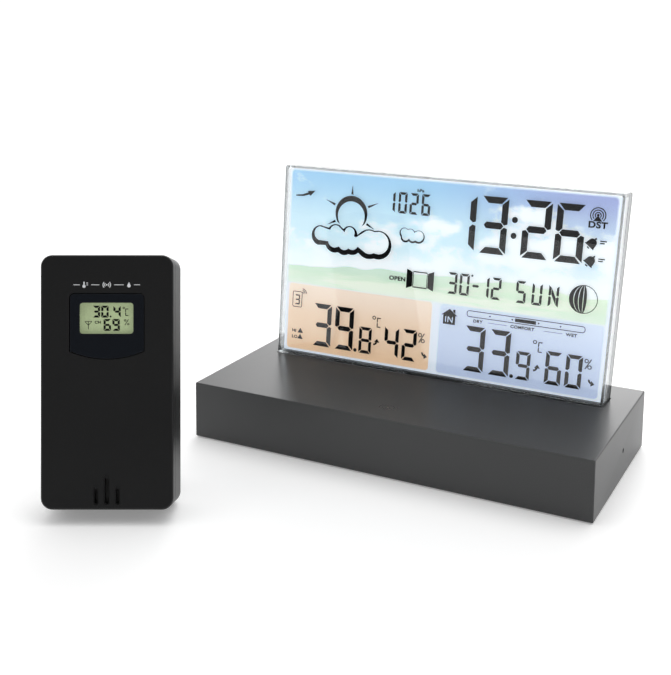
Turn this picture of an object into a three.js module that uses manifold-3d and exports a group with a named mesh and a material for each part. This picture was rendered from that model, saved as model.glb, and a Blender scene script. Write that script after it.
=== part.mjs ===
// A home weather station in two units, in millimetres, +Z up.
// The console is a flat black base with a clear display block that stands on it, leaning back.
// The outdoor sensor is a small black case that leans on its own fold-out leg in front of it.
// The origin is the centre of the console's base, on the table. The console faces -Y.

import * as THREE from 'three';
import { mergeVertices } from 'three/addons/utils/BufferGeometryUtils.js';
import Module from 'manifold-3d';

const wasm = await Module();
wasm.setup();

// ---------------------------------------------------------------- driving dimensions

const GAP = 0.3;                 // between pieces that touch
const PAST = 1;                  // how far a cutting shape runs past the face that it cuts
const ROUND_SIDES = 20;          // sides of a large round piece
const SMALL_ROUND_SIDES = 12;    // sides of a pin, screw or small hole

const BASE_LENGTH = 180;         // console base, at its top edge
const BASE_DEPTH = 82.7;
const BASE_TOP = 26.4;
const BASE_DRAFT = 1;            // each end leans out by this much towards the table
const BASE_EDGE = 0.5;           // small bevel along the base's edges
const FOOT_RISE = 0.5;           // the feet lift the underside by this much
const SIDE_WALL = 2;
const TOP_WALL = 2.2;
const COVER_THICKNESS = 2;

const DISPLAY_WIDTH = 157.7;     // clear display block, measured in its own leaning plane
const DISPLAY_HEIGHT = 89.65;
const DISPLAY_THICKNESS = 13.5;
const DISPLAY_LEAN = THREE.MathUtils.degToRad(6.5);
const DISPLAY_FRONT = 11.9;      // where the display's front face meets the base's top
const DISPLAY_RIM = 1.2;
const DISPLAY_PLATE = 1.5;       // clear front and back plates
const DISPLAY_PARTING = 7;       // joint between the front and rear clear shells
const DISPLAY_CORNER = 1.2;
const DISPLAY_EDGE = 0.5;

const SENSOR_WIDTH = 50.3;       // outdoor sensor, in its own leaning plane
const SENSOR_HEIGHT = 96.5;
const SENSOR_DEPTH = 20;
const SENSOR_CORNER = 4.4;
const SENSOR_BEVEL = 0.8;
const SENSOR_PARTING = 5.75;
const SENSOR_WALL = 1.8;
const SENSOR_X = -72.4;          // bottom middle of the sensor's front face
const SENSOR_Y = -126.6;
const SENSOR_TURN = THREE.MathUtils.degToRad(27.66);
const SENSOR_LEAN = THREE.MathUtils.degToRad(18.13);

const CELL_RADIUS = 5.25;        // AAA cell
const CELL_LENGTH = 44.5;
const CELL_BUTTON_RADIUS = 1.9;
const CELL_BUTTON_RISE = 1;

const SCREW_RADIUS = 1.1;        // shank of a console screw, and the hole that it passes through
const SCREW_HOLE_RADIUS = 1.4;
const BOARD_THICKNESS = 1.6;
const CONTACT_THICKNESS = 0.5;
const CONTACT_BUMP_RADIUS = 2.2;

// ---------------------------------------------------------------- solids

function toSolid(geometry) {
  const bare = geometry.clone();
  bare.deleteAttribute('normal');
  bare.deleteAttribute('uv');
  const merged = mergeVertices(bare, 1e-4);
  const vertProperties = new Float32Array(merged.attributes.position.array);
  const triVerts = new Uint32Array(merged.index.array);
  return new wasm.Manifold(new wasm.Mesh({ numProp: 3, vertProperties, triVerts }));
}

function toGeometry(solid) {
  const mesh = solid.getMesh();
  const geometry = new THREE.BufferGeometry();
  geometry.setAttribute('position', new THREE.BufferAttribute(new Float32Array(mesh.vertProperties), 3));
  geometry.setIndex(new THREE.BufferAttribute(new Uint32Array(mesh.triVerts), 1));
  geometry.computeVertexNormals();
  return geometry;
}

const joined = (...pieces) => toGeometry(pieces.map(toSolid).reduce((whole, piece) => whole.add(piece)));

const cut = (body, ...tools) =>
  toGeometry(tools.map(toSolid).reduce((left, tool) => left.subtract(tool), toSolid(body)));

const common = (first, second) => toGeometry(toSolid(first).intersect(toSolid(second)));

// A span along one axis, [low, high], from its middle and half its length.
const about = (middle, half) => [middle - half, middle + half];

const grown = ([low, high], by) => [low - by, high + by];

// The same span on the other side of zero.
const mirrored = ([low, high]) => [-high, -low];

// A box from its spans along X, Y and Z.
function block([x0, x1], [y0, y1], [z0, z1]) {
  const box = new THREE.BoxGeometry(x1 - x0, y1 - y0, z1 - z0);
  return box.translate((x0 + x1) / 2, (y0 + y1) / 2, (z0 + z1) / 2);
}

// Round bars along each axis. The last two lengths are the place across the axis.
function barZ(radius, [z0, z1], x, y, sides = SMALL_ROUND_SIDES) {
  const bar = new THREE.CylinderGeometry(radius, radius, z1 - z0, sides);
  return bar.rotateX(Math.PI / 2).translate(x, y, (z0 + z1) / 2);
}

function barY(radius, [y0, y1], x, z, sides = SMALL_ROUND_SIDES) {
  const bar = new THREE.CylinderGeometry(radius, radius, y1 - y0, sides);
  return bar.translate(x, (y0 + y1) / 2, z);
}

function barX(radius, [x0, x1], y, z, sides = SMALL_ROUND_SIDES) {
  const bar = new THREE.CylinderGeometry(radius, radius, x1 - x0, sides);
  return bar.rotateZ(Math.PI / 2).translate((x0 + x1) / 2, y, z);
}

// A solid of revolution about Y from [radius, height] pairs that start and end on the axis.
const turned = (profile, sides) =>
  new THREE.LatheGeometry(profile.map(([radius, height]) => new THREE.Vector2(radius, height)), sides);

function roundedRectangle([x0, x1], [z0, z1], radius) {
  const outline = new THREE.Shape();
  outline.absarc(x1 - radius, z0 + radius, radius, -Math.PI / 2, 0);
  outline.absarc(x1 - radius, z1 - radius, radius, 0, Math.PI / 2);
  outline.absarc(x0 + radius, z1 - radius, radius, Math.PI / 2, Math.PI);
  outline.absarc(x0 + radius, z0 + radius, radius, Math.PI, 1.5 * Math.PI);
  outline.closePath();
  return outline;
}

// An outline drawn in X and Z, made into a slab along Y, with its edges bevelled if asked.
function slab(outline, [y0, y1], bevel = 0, curveSegments = 3) {
  const geometry = new THREE.ExtrudeGeometry(outline, {
    depth: y1 - y0 - 2 * bevel,
    curveSegments,
    bevelEnabled: bevel > 0,
    bevelThickness: bevel,
    bevelSize: bevel,
    bevelOffset: -bevel,
    bevelSegments: 1,
  });
  return geometry.rotateX(Math.PI / 2).translate(0, y1 - bevel, 0);
}

// ---------------------------------------------------------------- finishes

function finish(color, roughness, metalness = 0, opacity = 1) {
  return new THREE.MeshStandardMaterial({
    color, roughness, metalness, opacity, transparent: opacity < 1,
  });
}

const FINISHES = {
  satinBlack: () => finish(0x3a3b3c, 0.38),
  sensorBlack: () => finish(0x1e1f1f, 0.45),
  underBlack: () => finish(0x242526, 0.7),
  clearPlastic: () => finish(0xe8f1f6, 0.08, 0, 0.3),
  lens: () => finish(0x14181f, 0.08),
  liquidCrystal: () => finish(0xa8b88c, 0.25),
  film: () => finish(0xb9d6ee, 0.3),
  white: () => finish(0xf2f4f4, 0.45),
  circuitBoard: () => finish(0x1c5a34, 0.5),
  socketBlack: () => finish(0x161616, 0.5),
  spring: () => finish(0xc9c9c4, 0.3, 0.9),
  screwSteel: () => finish(0x8f9194, 0.35, 0.9),
  copper: () => finish(0xb87333, 0.4, 0.8),
  cellGreen: () => finish(0x2f7d4f, 0.4, 0.1),
  rubber: () => finish(0x101010, 0.9),
  ribbon: () => finish(0xc98a3a, 0.5),
  ferrite: () => finish(0x4a3a30, 0.6),
};

function part(name, finishName, geometry) {
  const mesh = new THREE.Mesh(geometry, FINISHES[finishName]());
  mesh.name = name;
  return mesh;
}

// ---------------------------------------------------------------- display seat
// The display's own frame is X across, Y back and Z up its face, from the bottom middle of its front.

const DISPLAY_HALF = DISPLAY_WIDTH / 2;
const DISPLAY_X = [-DISPLAY_HALF, DISPLAY_HALF];
const SEAT_MARGIN = 3;
const SEAT_Y = [-2.5, DISPLAY_THICKNESS + 2.5];
const SEAT_Z = [-4.2, -0.5];
const SEAT_CUT_Z = [-10, PAST];

const TENON_CENTRES = [-55, 55];  // the rear clear shell's tenons go through the seat
const TENON_HALF = 7;
const TENON_Y = [7.6, 13];
const TENON_MIDDLE = (TENON_Y[0] + TENON_Y[1]) / 2;

const RIBBON_X = [-15, 15];
const RIBBON_Y = [9.9, 10.2];
const RIBBON_Z = [-14, 22];
const RIBBON_ROOM = 0.5;

const inDisplayFrame = (geometry) =>
  geometry.rotateX(-DISPLAY_LEAN).translate(0, DISPLAY_FRONT, BASE_TOP);

// ---------------------------------------------------------------- console base housing

const BASE_HALF = BASE_LENGTH / 2;
const BASE_BOTTOM_HALF = BASE_HALF + BASE_DRAFT;
const REAR_Y = BASE_DEPTH / 2;
const CEILING = BASE_TOP - TOP_WALL;
const COVER_TOP = FOOT_RISE + COVER_THICKNESS;
const REAR_WALL_CUT = [REAR_Y - SIDE_WALL - PAST, REAR_Y + PAST];
const REAR_INSIDE = REAR_Y - SIDE_WALL - GAP;

const corners = (x, y) => [[-x, -y], [x, -y], [-x, y], [x, y]];
const SCREW_PLACES = corners(82, 33);
const SCREW_BOSS_RADIUS = 3.5;
const BOSS_CLEARANCE = 0.5;      // each boss stops short of the cover, and runs into the top
const SCREW_TIP = 12;
const FOOT_PLACES = corners(66, 32);
const FOOT_RADIUS = 5;
const FOOT_HEIGHT = 1.4;

const KEY_COUNT = 6;
const KEY_FIRST_X = -50;
const KEY_PITCH = 14;
const KEY_Z = 14;
const KEY_HALF_WIDTH = 4.5;
const KEY_HALF_HEIGHT = 2.5;
const KEY_CORNER = 1.3;
const KEY_EDGE = 0.3;
const KEY_PROUD = 0.85;
const KEY_FLANGE = 1;
const KEY_FLANGE_THICKNESS = 1.5;
const keyXs = Array.from({ length: KEY_COUNT }, (_, i) => KEY_FIRST_X + i * KEY_PITCH);

const SOCKET_X = 72;
const SOCKET_Z = 13.4;
const SOCKET_COLLAR_RADIUS = 4.2;
const VENT_Y = 4.2;
const VENT_Z = 12.7;
const VENT_RADIUS = 1;

// The end view is narrower at the top, with a small bevel where the ends meet the top.
function baseProfile(halfBottom, halfTop, [z0, z1]) {
  const outline = new THREE.Shape();
  outline.moveTo(-halfBottom, z0);
  outline.lineTo(halfBottom, z0);
  outline.lineTo(halfTop, z1 - BASE_EDGE);
  outline.lineTo(halfTop - BASE_EDGE, z1);
  outline.lineTo(-halfTop + BASE_EDGE, z1);
  outline.lineTo(-halfTop, z1 - BASE_EDGE);
  outline.closePath();
  return outline;
}

const keyOutline = (x, grow, corner) => roundedRectangle(
  about(x, KEY_HALF_WIDTH + grow), about(KEY_Z, KEY_HALF_HEIGHT + grow), corner,
);

// The housing is a shell that is open below: a top and four walls in one moulding.
function baseHousing() {
  const outside = slab(
    baseProfile(BASE_BOTTOM_HALF, BASE_HALF, [FOOT_RISE, BASE_TOP]), [-REAR_Y, REAR_Y], BASE_EDGE,
  );
  const inside = slab(
    baseProfile(BASE_BOTTOM_HALF - SIDE_WALL, BASE_HALF - SIDE_WALL, [-PAST, CEILING]),
    [-REAR_Y + SIDE_WALL, REAR_Y - SIDE_WALL],
  );
  const seat = inDisplayFrame(block(grown(DISPLAY_X, SEAT_MARGIN), SEAT_Y, SEAT_Z));
  const bosses = SCREW_PLACES.map(([x, y]) =>
    barZ(SCREW_BOSS_RADIUS, [COVER_TOP + BOSS_CLEARANCE, CEILING + BOSS_CLEARANCE], x, y));
  const shell = joined(cut(outside, inside), seat, ...bosses);

  const trough = inDisplayFrame(
    block(grown(DISPLAY_X, GAP), [-GAP, DISPLAY_THICKNESS + GAP], [-GAP, BASE_TOP]),
  );
  const tenonHoles = TENON_CENTRES.map((x) =>
    inDisplayFrame(block(about(x, TENON_HALF + GAP), grown(TENON_Y, GAP), SEAT_CUT_Z)));
  const ribbonHole = inDisplayFrame(
    block(grown(RIBBON_X, RIBBON_ROOM), grown(RIBBON_Y, RIBBON_ROOM), SEAT_CUT_Z),
  );
  const screwBores = SCREW_PLACES.map(([x, y]) => barZ(SCREW_HOLE_RADIUS, [0, SCREW_TIP + 2], x, y));
  const keyHoles = keyXs.map((x) => slab(keyOutline(x, GAP, KEY_CORNER + GAP), REAR_WALL_CUT, 0, 2));
  const socketHole = barY(SOCKET_COLLAR_RADIUS + GAP, REAR_WALL_CUT, SOCKET_X, SOCKET_Z, ROUND_SIDES);
  const vent = barX(VENT_RADIUS, [BASE_HALF - 2 * SIDE_WALL, BASE_HALF + 2 * SIDE_WALL], VENT_Y, VENT_Z);
  return cut(shell, trough, ...tenonHoles, ribbonHole, ...screwBores, ...keyHoles, socketHole, vent);
}

// ---------------------------------------------------------------- console underside and cells

const TRAY_X = [-81.5, -31];      // battery tray for three cells side by side
const TRAY_Y = [-17.3, 17.3];
const TRAY_CEILING = 14.6;
const TRAY_WALL = 1.5;
const CELL_PITCH = 11.2;
const CELL_Z = 8.4;
const CELL_START_X = TRAY_X[0] + 3.1;
const CELL_END_X = CELL_START_X + CELL_LENGTH;
const CELL_ROWS = [-CELL_PITCH, 0, CELL_PITCH];
const CONSOLE_DOOR_THICKNESS = 1.8;
const GRIP_COUNT = 3;
const GRIP_PITCH = 2;
const GRIP_DEPTH = 0.4;
const SCREW_HEAD_RADIUS = 2.8;
const SCREW_HEAD_HEIGHT = 0.8;
const SCREW_SLOT = 0.3;
const SCREW_SUNK = 0.2;

function bottomCover() {
  const halfLength = BASE_BOTTOM_HALF - SIDE_WALL - 0.5;
  const plate = block([-halfLength, halfLength], [-REAR_INSIDE, REAR_INSIDE], [FOOT_RISE, COVER_TOP]);
  const tray = block(
    grown(TRAY_X, TRAY_WALL), grown(TRAY_Y, TRAY_WALL), [FOOT_RISE, TRAY_CEILING + TRAY_WALL],
  );
  const well = block(TRAY_X, TRAY_Y, [-PAST, TRAY_CEILING]);
  const footRecesses = FOOT_PLACES.map(([x, y]) =>
    barZ(FOOT_RADIUS + GAP, [-PAST, FOOT_HEIGHT + GAP], x, y, ROUND_SIDES));
  const headRecesses = SCREW_PLACES.map(([x, y]) =>
    barZ(SCREW_HEAD_RADIUS + GAP, [-PAST, FOOT_RISE + SCREW_SUNK + SCREW_HEAD_HEIGHT + GAP], x, y));
  const screwHoles = SCREW_PLACES.map(([x, y]) => barZ(SCREW_HOLE_RADIUS, [-PAST, COVER_TOP + PAST], x, y));
  return cut(joined(plate, tray), well, ...footRecesses, ...headRecesses, ...screwHoles);
}

// Three finger grooves side by side, each half as wide as their pitch.
const gripSpans = (start) =>
  Array.from({ length: GRIP_COUNT }, (_, i) => [start + i * GRIP_PITCH, start + (i + 0.5) * GRIP_PITCH]);

function consoleBatteryDoor() {
  const door = block(
    grown(TRAY_X, -GAP), grown(TRAY_Y, -GAP), [FOOT_RISE, FOOT_RISE + CONSOLE_DOOR_THICKNESS],
  );
  const grips = gripSpans(TRAY_X[1] - 7).map((x) => block(x, [-8, 8], [-PAST, FOOT_RISE + GRIP_DEPTH]));
  return cut(door, ...grips);
}

// A cell's can stands on the origin along Y, with the raised button of its positive end on top.
const cell = () => turned([
  [0, 0],
  [CELL_RADIUS, 0],
  [CELL_RADIUS, CELL_LENGTH - CELL_BUTTON_RISE],
  [CELL_BUTTON_RADIUS, CELL_LENGTH - CELL_BUTTON_RISE],
  [CELL_BUTTON_RADIUS, CELL_LENGTH],
  [0, CELL_LENGTH],
], ROUND_SIDES);

// Neighbouring cells in the tray point opposite ways.
function consoleCell(row) {
  const reversed = row % 2 === 1;
  const along = cell().rotateZ(reversed ? Math.PI / 2 : -Math.PI / 2);
  return along.translate(reversed ? CELL_END_X : CELL_START_X, CELL_ROWS[row], CELL_Z);
}

// A sprung contact plate that spans the three cells, with one bump for each.
function consoleContact(plateX, bumpX) {
  const plate = block(plateX, grown(TRAY_Y, -2 * GAP), about(CELL_Z, CELL_RADIUS - 0.75));
  const bumps = CELL_ROWS.map((y) => barX(CONTACT_BUMP_RADIUS, bumpX, y, CELL_Z));
  return joined(plate, ...bumps);
}

const CONTACT_LEFT = [TRAY_X[0] + GAP, TRAY_X[0] + GAP + CONTACT_THICKNESS];
const CONTACT_RIGHT = [TRAY_X[1] - GAP - CONTACT_THICKNESS, TRAY_X[1] - GAP];

function baseScrew(x, y) {
  const head = [FOOT_RISE + SCREW_SUNK, FOOT_RISE + SCREW_SUNK + SCREW_HEAD_HEIGHT];
  const body = joined(
    barZ(SCREW_HEAD_RADIUS, head, x, y), barZ(SCREW_RADIUS, [head[1] - 0.1, SCREW_TIP], x, y),
  );
  return cut(body, block(about(x, 2), about(y, SCREW_SLOT), [0, head[0] + 0.4]));
}

// ---------------------------------------------------------------- console electronics

const BOARD_Z = [5, 5 + BOARD_THICKNESS];
const BOARD_PART_Z = BOARD_Z[1] - 0.1;    // parts on the board start just inside it
const ABOVE_BOARD = BOARD_Z[1] + GAP;
const RIBBON_CONNECTOR_TOP = 10.9;
const KEY_BOARD_Y = [33.5, 34.7];
const KEY_SWITCH_HALF = 2.2;
const KEY_SWITCH_REAR = 36.2;
const SOCKET_HALF_WIDTH = 4.5;
const SOCKET_HALF_HEIGHT = 5;
const SOCKET_FRONT = 28;
const SOCKET_BORE_RADIUS = 3.1;
const SOCKET_BORE_FRONT = 31;
const SOCKET_PIN_RADIUS = 1;

function mainBoard() {
  const board = block([-24, 76], [-35, 27], BOARD_Z);
  const ribbonConnector = block([-17, 17], [17, 23], [BOARD_PART_Z, RIBBON_CONNECTOR_TOP]);
  const chip = block([24, 38], [-14, 0], [BOARD_PART_Z, 8.2]);
  const supplyConnector = block([-22, -14], [-6, 6], [BOARD_PART_Z, 11]);
  const capacitor = barZ(3.2, [BOARD_PART_Z, 15], 44, 12);
  return joined(board, ribbonConnector, chip, supplyConnector, capacitor);
}

// The upright board behind the rear keys, with one switch for each key.
function keyBoard() {
  const board = block([keyXs[0] - 8, keyXs[KEY_COUNT - 1] + 8], KEY_BOARD_Y, [4, 22]);
  const switches = keyXs.map((x) => block(
    about(x, KEY_SWITCH_HALF), [KEY_BOARD_Y[1] - 0.2, KEY_SWITCH_REAR], about(KEY_Z, KEY_SWITCH_HALF),
  ));
  return joined(board, ...switches);
}

// A key's cap stands proud of the rear wall, and its flange keeps it from falling out.
function rearKey(x) {
  const cap = slab(keyOutline(x, 0, KEY_CORNER), [REAR_Y - SIDE_WALL - 1, REAR_Y + KEY_PROUD], KEY_EDGE, 2);
  const flange = block(
    about(x, KEY_HALF_WIDTH + KEY_FLANGE),
    [REAR_INSIDE - KEY_FLANGE_THICKNESS, REAR_INSIDE],
    about(KEY_Z, KEY_HALF_HEIGHT + KEY_FLANGE),
  );
  return joined(cap, flange);
}

// A barrel socket: a box inside the wall, a round collar in it, and a bore around a centre pin.
function supplySocket() {
  const body = block(
    about(SOCKET_X, SOCKET_HALF_WIDTH), [SOCKET_FRONT, REAR_INSIDE], about(SOCKET_Z, SOCKET_HALF_HEIGHT),
  );
  const collar = barY(SOCKET_COLLAR_RADIUS, [36, REAR_Y - 0.2], SOCKET_X, SOCKET_Z, ROUND_SIDES);
  const bore = barY(SOCKET_BORE_RADIUS, [SOCKET_BORE_FRONT, REAR_Y + PAST], SOCKET_X, SOCKET_Z, ROUND_SIDES);
  const pin = barY(SOCKET_PIN_RADIUS, [SOCKET_BORE_FRONT - 1, REAR_Y - 1.5], SOCKET_X, SOCKET_Z);
  return joined(cut(joined(body, collar), bore), pin);
}

// The clock receiver's ferrite rod with its wound coil in the middle.
function clockAntenna() {
  const rodRadius = 4;
  const coilRadius = 5.4;
  const length = 36;
  const coil = [9, 27];
  const rod = turned([
    [0, 0], [rodRadius, 0], [rodRadius, coil[0]], [coilRadius, coil[0]],
    [coilRadius, coil[1]], [rodRadius, coil[1]], [rodRadius, length], [0, length],
  ], SMALL_ROUND_SIDES);
  return rod.rotateZ(-Math.PI / 2).translate(-72, -29, 10);
}

function receiverModule() {
  const board = block([50, 70], [-30, -16], [ABOVE_BOARD, ABOVE_BOARD + 1.2]);
  const screeningCan = block([53, 63], [-28, -18], [ABOVE_BOARD + 1.1, ABOVE_BOARD + 3]);
  return joined(board, screeningCan);
}

const buzzer = () => barZ(7, [ABOVE_BOARD, ABOVE_BOARD + 4.2], 0, -24, ROUND_SIDES);

const climateSensor = () => block([86.2, 87.4], about(VENT_Y, 4.5), about(VENT_Z, 5));

const touchPad = () => barZ(7, [CEILING - 0.9, CEILING - GAP], -1, -28.5, ROUND_SIDES);

const consoleUnit = new THREE.Group();
consoleUnit.add(
  part('base_housing', 'satinBlack', baseHousing()),
  part('bottom_cover', 'underBlack', bottomCover()),
  part('console_battery_door', 'underBlack', consoleBatteryDoor()),
  part('console_contact_left', 'spring',
    consoleContact(CONTACT_LEFT, [CONTACT_LEFT[1] - 0.1, CELL_START_X - GAP])),
  part('console_contact_right', 'spring',
    consoleContact(CONTACT_RIGHT, [CELL_END_X + GAP, CONTACT_RIGHT[0] + 0.1])),
  part('main_board', 'circuitBoard', mainBoard()),
  part('key_board', 'circuitBoard', keyBoard()),
  part('supply_socket', 'socketBlack', supplySocket()),
  part('clock_antenna', 'ferrite', clockAntenna()),
  part('receiver_module', 'circuitBoard', receiverModule()),
  part('buzzer', 'socketBlack', buzzer()),
  part('climate_sensor', 'white', climateSensor()),
  part('touch_pad', 'copper', touchPad()),
);
CELL_ROWS.forEach((_, row) => {
  consoleUnit.add(part(`console_cell_${row + 1}`, 'cellGreen', consoleCell(row)));
});
keyXs.forEach((x, i) => consoleUnit.add(part(`rear_key_${i + 1}`, 'satinBlack', rearKey(x))));
SCREW_PLACES.forEach(([x, y], i) => {
  consoleUnit.add(part(`base_screw_${i + 1}`, 'screwSteel', baseScrew(x, y)));
});
FOOT_PLACES.forEach(([x, y], i) => {
  consoleUnit.add(part(`foot_${i + 1}`, 'rubber', barZ(FOOT_RADIUS, [0, FOOT_HEIGHT], x, y, ROUND_SIDES)));
});

// ---------------------------------------------------------------- display block

const PANEL_X = grown(DISPLAY_X, -DISPLAY_RIM - GAP);
const PANEL_Z = grown([0, DISPLAY_HEIGHT], -DISPLAY_RIM - GAP);
const LIGHT_BAR_TOP = PANEL_Z[0] + 3;
const LIGHT_GUIDE_Y = [5.5, 8.5];
const CLAMP_HALF = 11;
const CLAMP_Y = [4.5, 15.5];
const CLAMP_Z = [SEAT_Z[0] - 1.8, SEAT_Z[0] - GAP];
const CLAMP_SCREW_HEAD_RADIUS = 2.6;
const CLAMP_SCREW_HEAD_HEIGHT = 1.5;
const CLAMP_SCREW_TIP = 0.5;

// One half of the clear block: a plate with a rim round it, its outer edges bevelled.
function clearShell(y, hollowY) {
  const outside = slab(
    roundedRectangle(DISPLAY_X, [0, DISPLAY_HEIGHT], DISPLAY_CORNER), y, DISPLAY_EDGE,
  );
  const inside = block(grown(DISPLAY_X, -DISPLAY_RIM), hollowY, grown([0, DISPLAY_HEIGHT], -DISPLAY_RIM));
  return cut(outside, inside);
}

const displayFrontShell = () =>
  clearShell([0, DISPLAY_PARTING - GAP / 2], [DISPLAY_PLATE, DISPLAY_THICKNESS]);

function displayRearShell() {
  const shell = clearShell(
    [DISPLAY_PARTING + GAP / 2, DISPLAY_THICKNESS], [0, DISPLAY_THICKNESS - DISPLAY_PLATE],
  );
  const tenons = TENON_CENTRES.map((x) => block(about(x, TENON_HALF), TENON_Y, [SEAT_Z[0] + GAP, 1]));
  const bores = TENON_CENTRES.map((x) =>
    barZ(SCREW_HOLE_RADIUS, [SEAT_Z[0] - PAST, CLAMP_SCREW_TIP + 0.4], x, TENON_MIDDLE));
  const ribbonHole = block(
    grown(RIBBON_X, RIBBON_ROOM), grown(RIBBON_Y, RIBBON_ROOM), [-PAST, DISPLAY_RIM + PAST],
  );
  return cut(joined(shell, ...tenons), ...bores, ribbonHole);
}

// A plate and a screw pull each tenon down against the underside of the seat.
function displayClamp(x) {
  const plate = block(about(x, CLAMP_HALF), CLAMP_Y, CLAMP_Z);
  return cut(plate, barZ(SCREW_HOLE_RADIUS, grown(CLAMP_Z, PAST), x, TENON_MIDDLE));
}

function displayScrew(x) {
  const headTop = CLAMP_Z[0] - GAP;
  const head = barZ(CLAMP_SCREW_HEAD_RADIUS, [headTop - CLAMP_SCREW_HEAD_HEIGHT, headTop], x, TENON_MIDDLE);
  return joined(head, barZ(SCREW_RADIUS, [headTop - 0.2, CLAMP_SCREW_TIP], x, TENON_MIDDLE));
}

const displayBlock = new THREE.Group();
displayBlock.position.set(0, DISPLAY_FRONT, BASE_TOP);
displayBlock.rotation.x = -DISPLAY_LEAN;
displayBlock.add(
  part('display_front_shell', 'clearPlastic', displayFrontShell()),
  part('display_rear_shell', 'clearPlastic', displayRearShell()),
  part('display_lcd_panel', 'liquidCrystal', block(PANEL_X, [1.8, 3.8], PANEL_Z)),
  part('colour_film', 'film', block(PANEL_X, [4.1, 4.5], PANEL_Z)),
  part('light_guide', 'white', block(PANEL_X, LIGHT_GUIDE_Y, [LIGHT_BAR_TOP + GAP, PANEL_Z[1]])),
  part('backlight_bar', 'white', block(PANEL_X, LIGHT_GUIDE_Y, [PANEL_Z[0], LIGHT_BAR_TOP])),
  part('reflector_sheet', 'white', block(PANEL_X, [8.8, 9.3], PANEL_Z)),
  part('display_ribbon', 'ribbon', block(RIBBON_X, RIBBON_Y, RIBBON_Z)),
);
TENON_CENTRES.forEach((x, i) => {
  const side = ['left', 'right'][i];
  displayBlock.add(part(`display_clamp_${side}`, 'screwSteel', displayClamp(x)));
  displayBlock.add(part(`display_screw_${side}`, 'screwSteel', displayScrew(x)));
});

// ---------------------------------------------------------------- outdoor sensor: front
// Its own frame is X across, Y into its depth and Z up its face, from the bottom middle of its front.

const SENSOR_HALF = SENSOR_WIDTH / 2;
const SENSOR_X_SPAN = [-SENSOR_HALF, SENSOR_HALF];
const SENSOR_INSIDE_X = grown(SENSOR_X_SPAN, -SENSOR_WALL);
const SENSOR_INSIDE_CORNER = SENSOR_CORNER - SENSOR_WALL;
const FRONT_WALL = 2.4;
const FRONT_SHELL_BACK = SENSOR_PARTING - GAP / 2;
const REAR_SHELL_FRONT = SENSOR_PARTING + GAP / 2;
const SENSOR_SCREW_XS = [-19.2, 19.2];
const SENSOR_SCREW_Z = 89;
const SENSOR_SCREW_RADIUS = 1;
const SENSOR_SCREW_HOLE = SENSOR_SCREW_RADIUS + GAP;

const LENS_HALF = 14;
const LENS_TOP = 81.8;
const LENS_SIDE_BOTTOM = 60.2;
const LENS_BOTTOM = 57.2;
const LENS_CORNER = 1.6;
const LENS_SEAT_DEPTH = 1.5;
const LENS_BACK = LENS_SEAT_DEPTH - GAP;
const LENS_CURVE_SEGMENTS = 8;
const WINDOW_X = [-12, 12];
const WINDOW_Z = [62.5, 80];
const VENT_BOTTOM = 2.2;
const VENT_SLOTS = [
  { x: -4.1, top: 8, half: 0.65 },
  { x: 0, top: 12.2, half: 0.8 },
  { x: 4.1, top: 8, half: 0.65 },
];

const sensorCase = slab(
  roundedRectangle(SENSOR_X_SPAN, [0, SENSOR_HEIGHT], SENSOR_CORNER), [0, SENSOR_DEPTH], SENSOR_BEVEL, 4,
);

const sensorSlice = (y) => block(grown(SENSOR_X_SPAN, PAST), y, grown([0, SENSOR_HEIGHT], PAST));

const sensorHollow = (y, z) => slab(roundedRectangle(SENSOR_INSIDE_X, z, SENSOR_INSIDE_CORNER), y);

// The lens has straight sides and top, and a bottom edge that bulges down.
function lensOutline(grow) {
  const half = LENS_HALF + grow;
  const sag = LENS_SIDE_BOTTOM - LENS_BOTTOM;
  const radius = (half * half + sag * sag) / (2 * sag);
  const angle = Math.asin(half / radius);
  const cornerZ = LENS_TOP + grow - LENS_CORNER;
  const outline = new THREE.Shape();
  outline.absarc(0, LENS_BOTTOM - grow + radius, radius, -Math.PI / 2 - angle, -Math.PI / 2 + angle);
  outline.absarc(half - LENS_CORNER, cornerZ, LENS_CORNER, 0, Math.PI / 2);
  outline.absarc(-half + LENS_CORNER, cornerZ, LENS_CORNER, Math.PI / 2, Math.PI);
  outline.closePath();
  return outline;
}

function sensorFrontShell() {
  const front = common(sensorCase, sensorSlice([-PAST, FRONT_SHELL_BACK]));
  const hollow = sensorHollow([FRONT_WALL, SENSOR_PARTING], grown([0, SENSOR_HEIGHT], -SENSOR_WALL));
  const bosses = SENSOR_SCREW_XS.map((x) =>
    barY(2.8, [FRONT_WALL - 0.4, FRONT_SHELL_BACK], x, SENSOR_SCREW_Z));
  const bores = SENSOR_SCREW_XS.map((x) => barY(SENSOR_SCREW_HOLE, [1.4, 7], x, SENSOR_SCREW_Z));
  const lensSeat = slab(lensOutline(GAP), [-PAST, LENS_SEAT_DEPTH], 0, LENS_CURVE_SEGMENTS);
  const window = block(WINDOW_X, [-PAST, FRONT_WALL + PAST], WINDOW_Z);
  const vents = VENT_SLOTS.map(({ x, top, half }) => slab(
    roundedRectangle(about(x, half), [VENT_BOTTOM, top], half - 0.01), [-PAST, FRONT_WALL + 0.6],
  ));
  return cut(joined(cut(front, hollow), ...bosses), ...bores, lensSeat, window, ...vents);
}

// ---------------------------------------------------------------- outdoor sensor: back and leg

const CASE_BACK_INNER = SENSOR_DEPTH - SENSOR_WALL;
const THROUGH_BACK = [15, SENSOR_DEPTH + PAST];
const THROUGH_KEYHOLE = [CASE_BACK_INNER - 0.5, SENSOR_DEPTH + PAST];
const BAY_X = [-11.6, 11.6];      // battery bay for two upright cells
const BAY_Z = [8, 58];
const BAY_FLOOR = 6.9;
const BAY_WALL = 1.2;
const DEEP_WALL = 4.4;            // the back is this thick where the leg folds into it
const SENSOR_DOOR_THICKNESS = 1.8;

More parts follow.
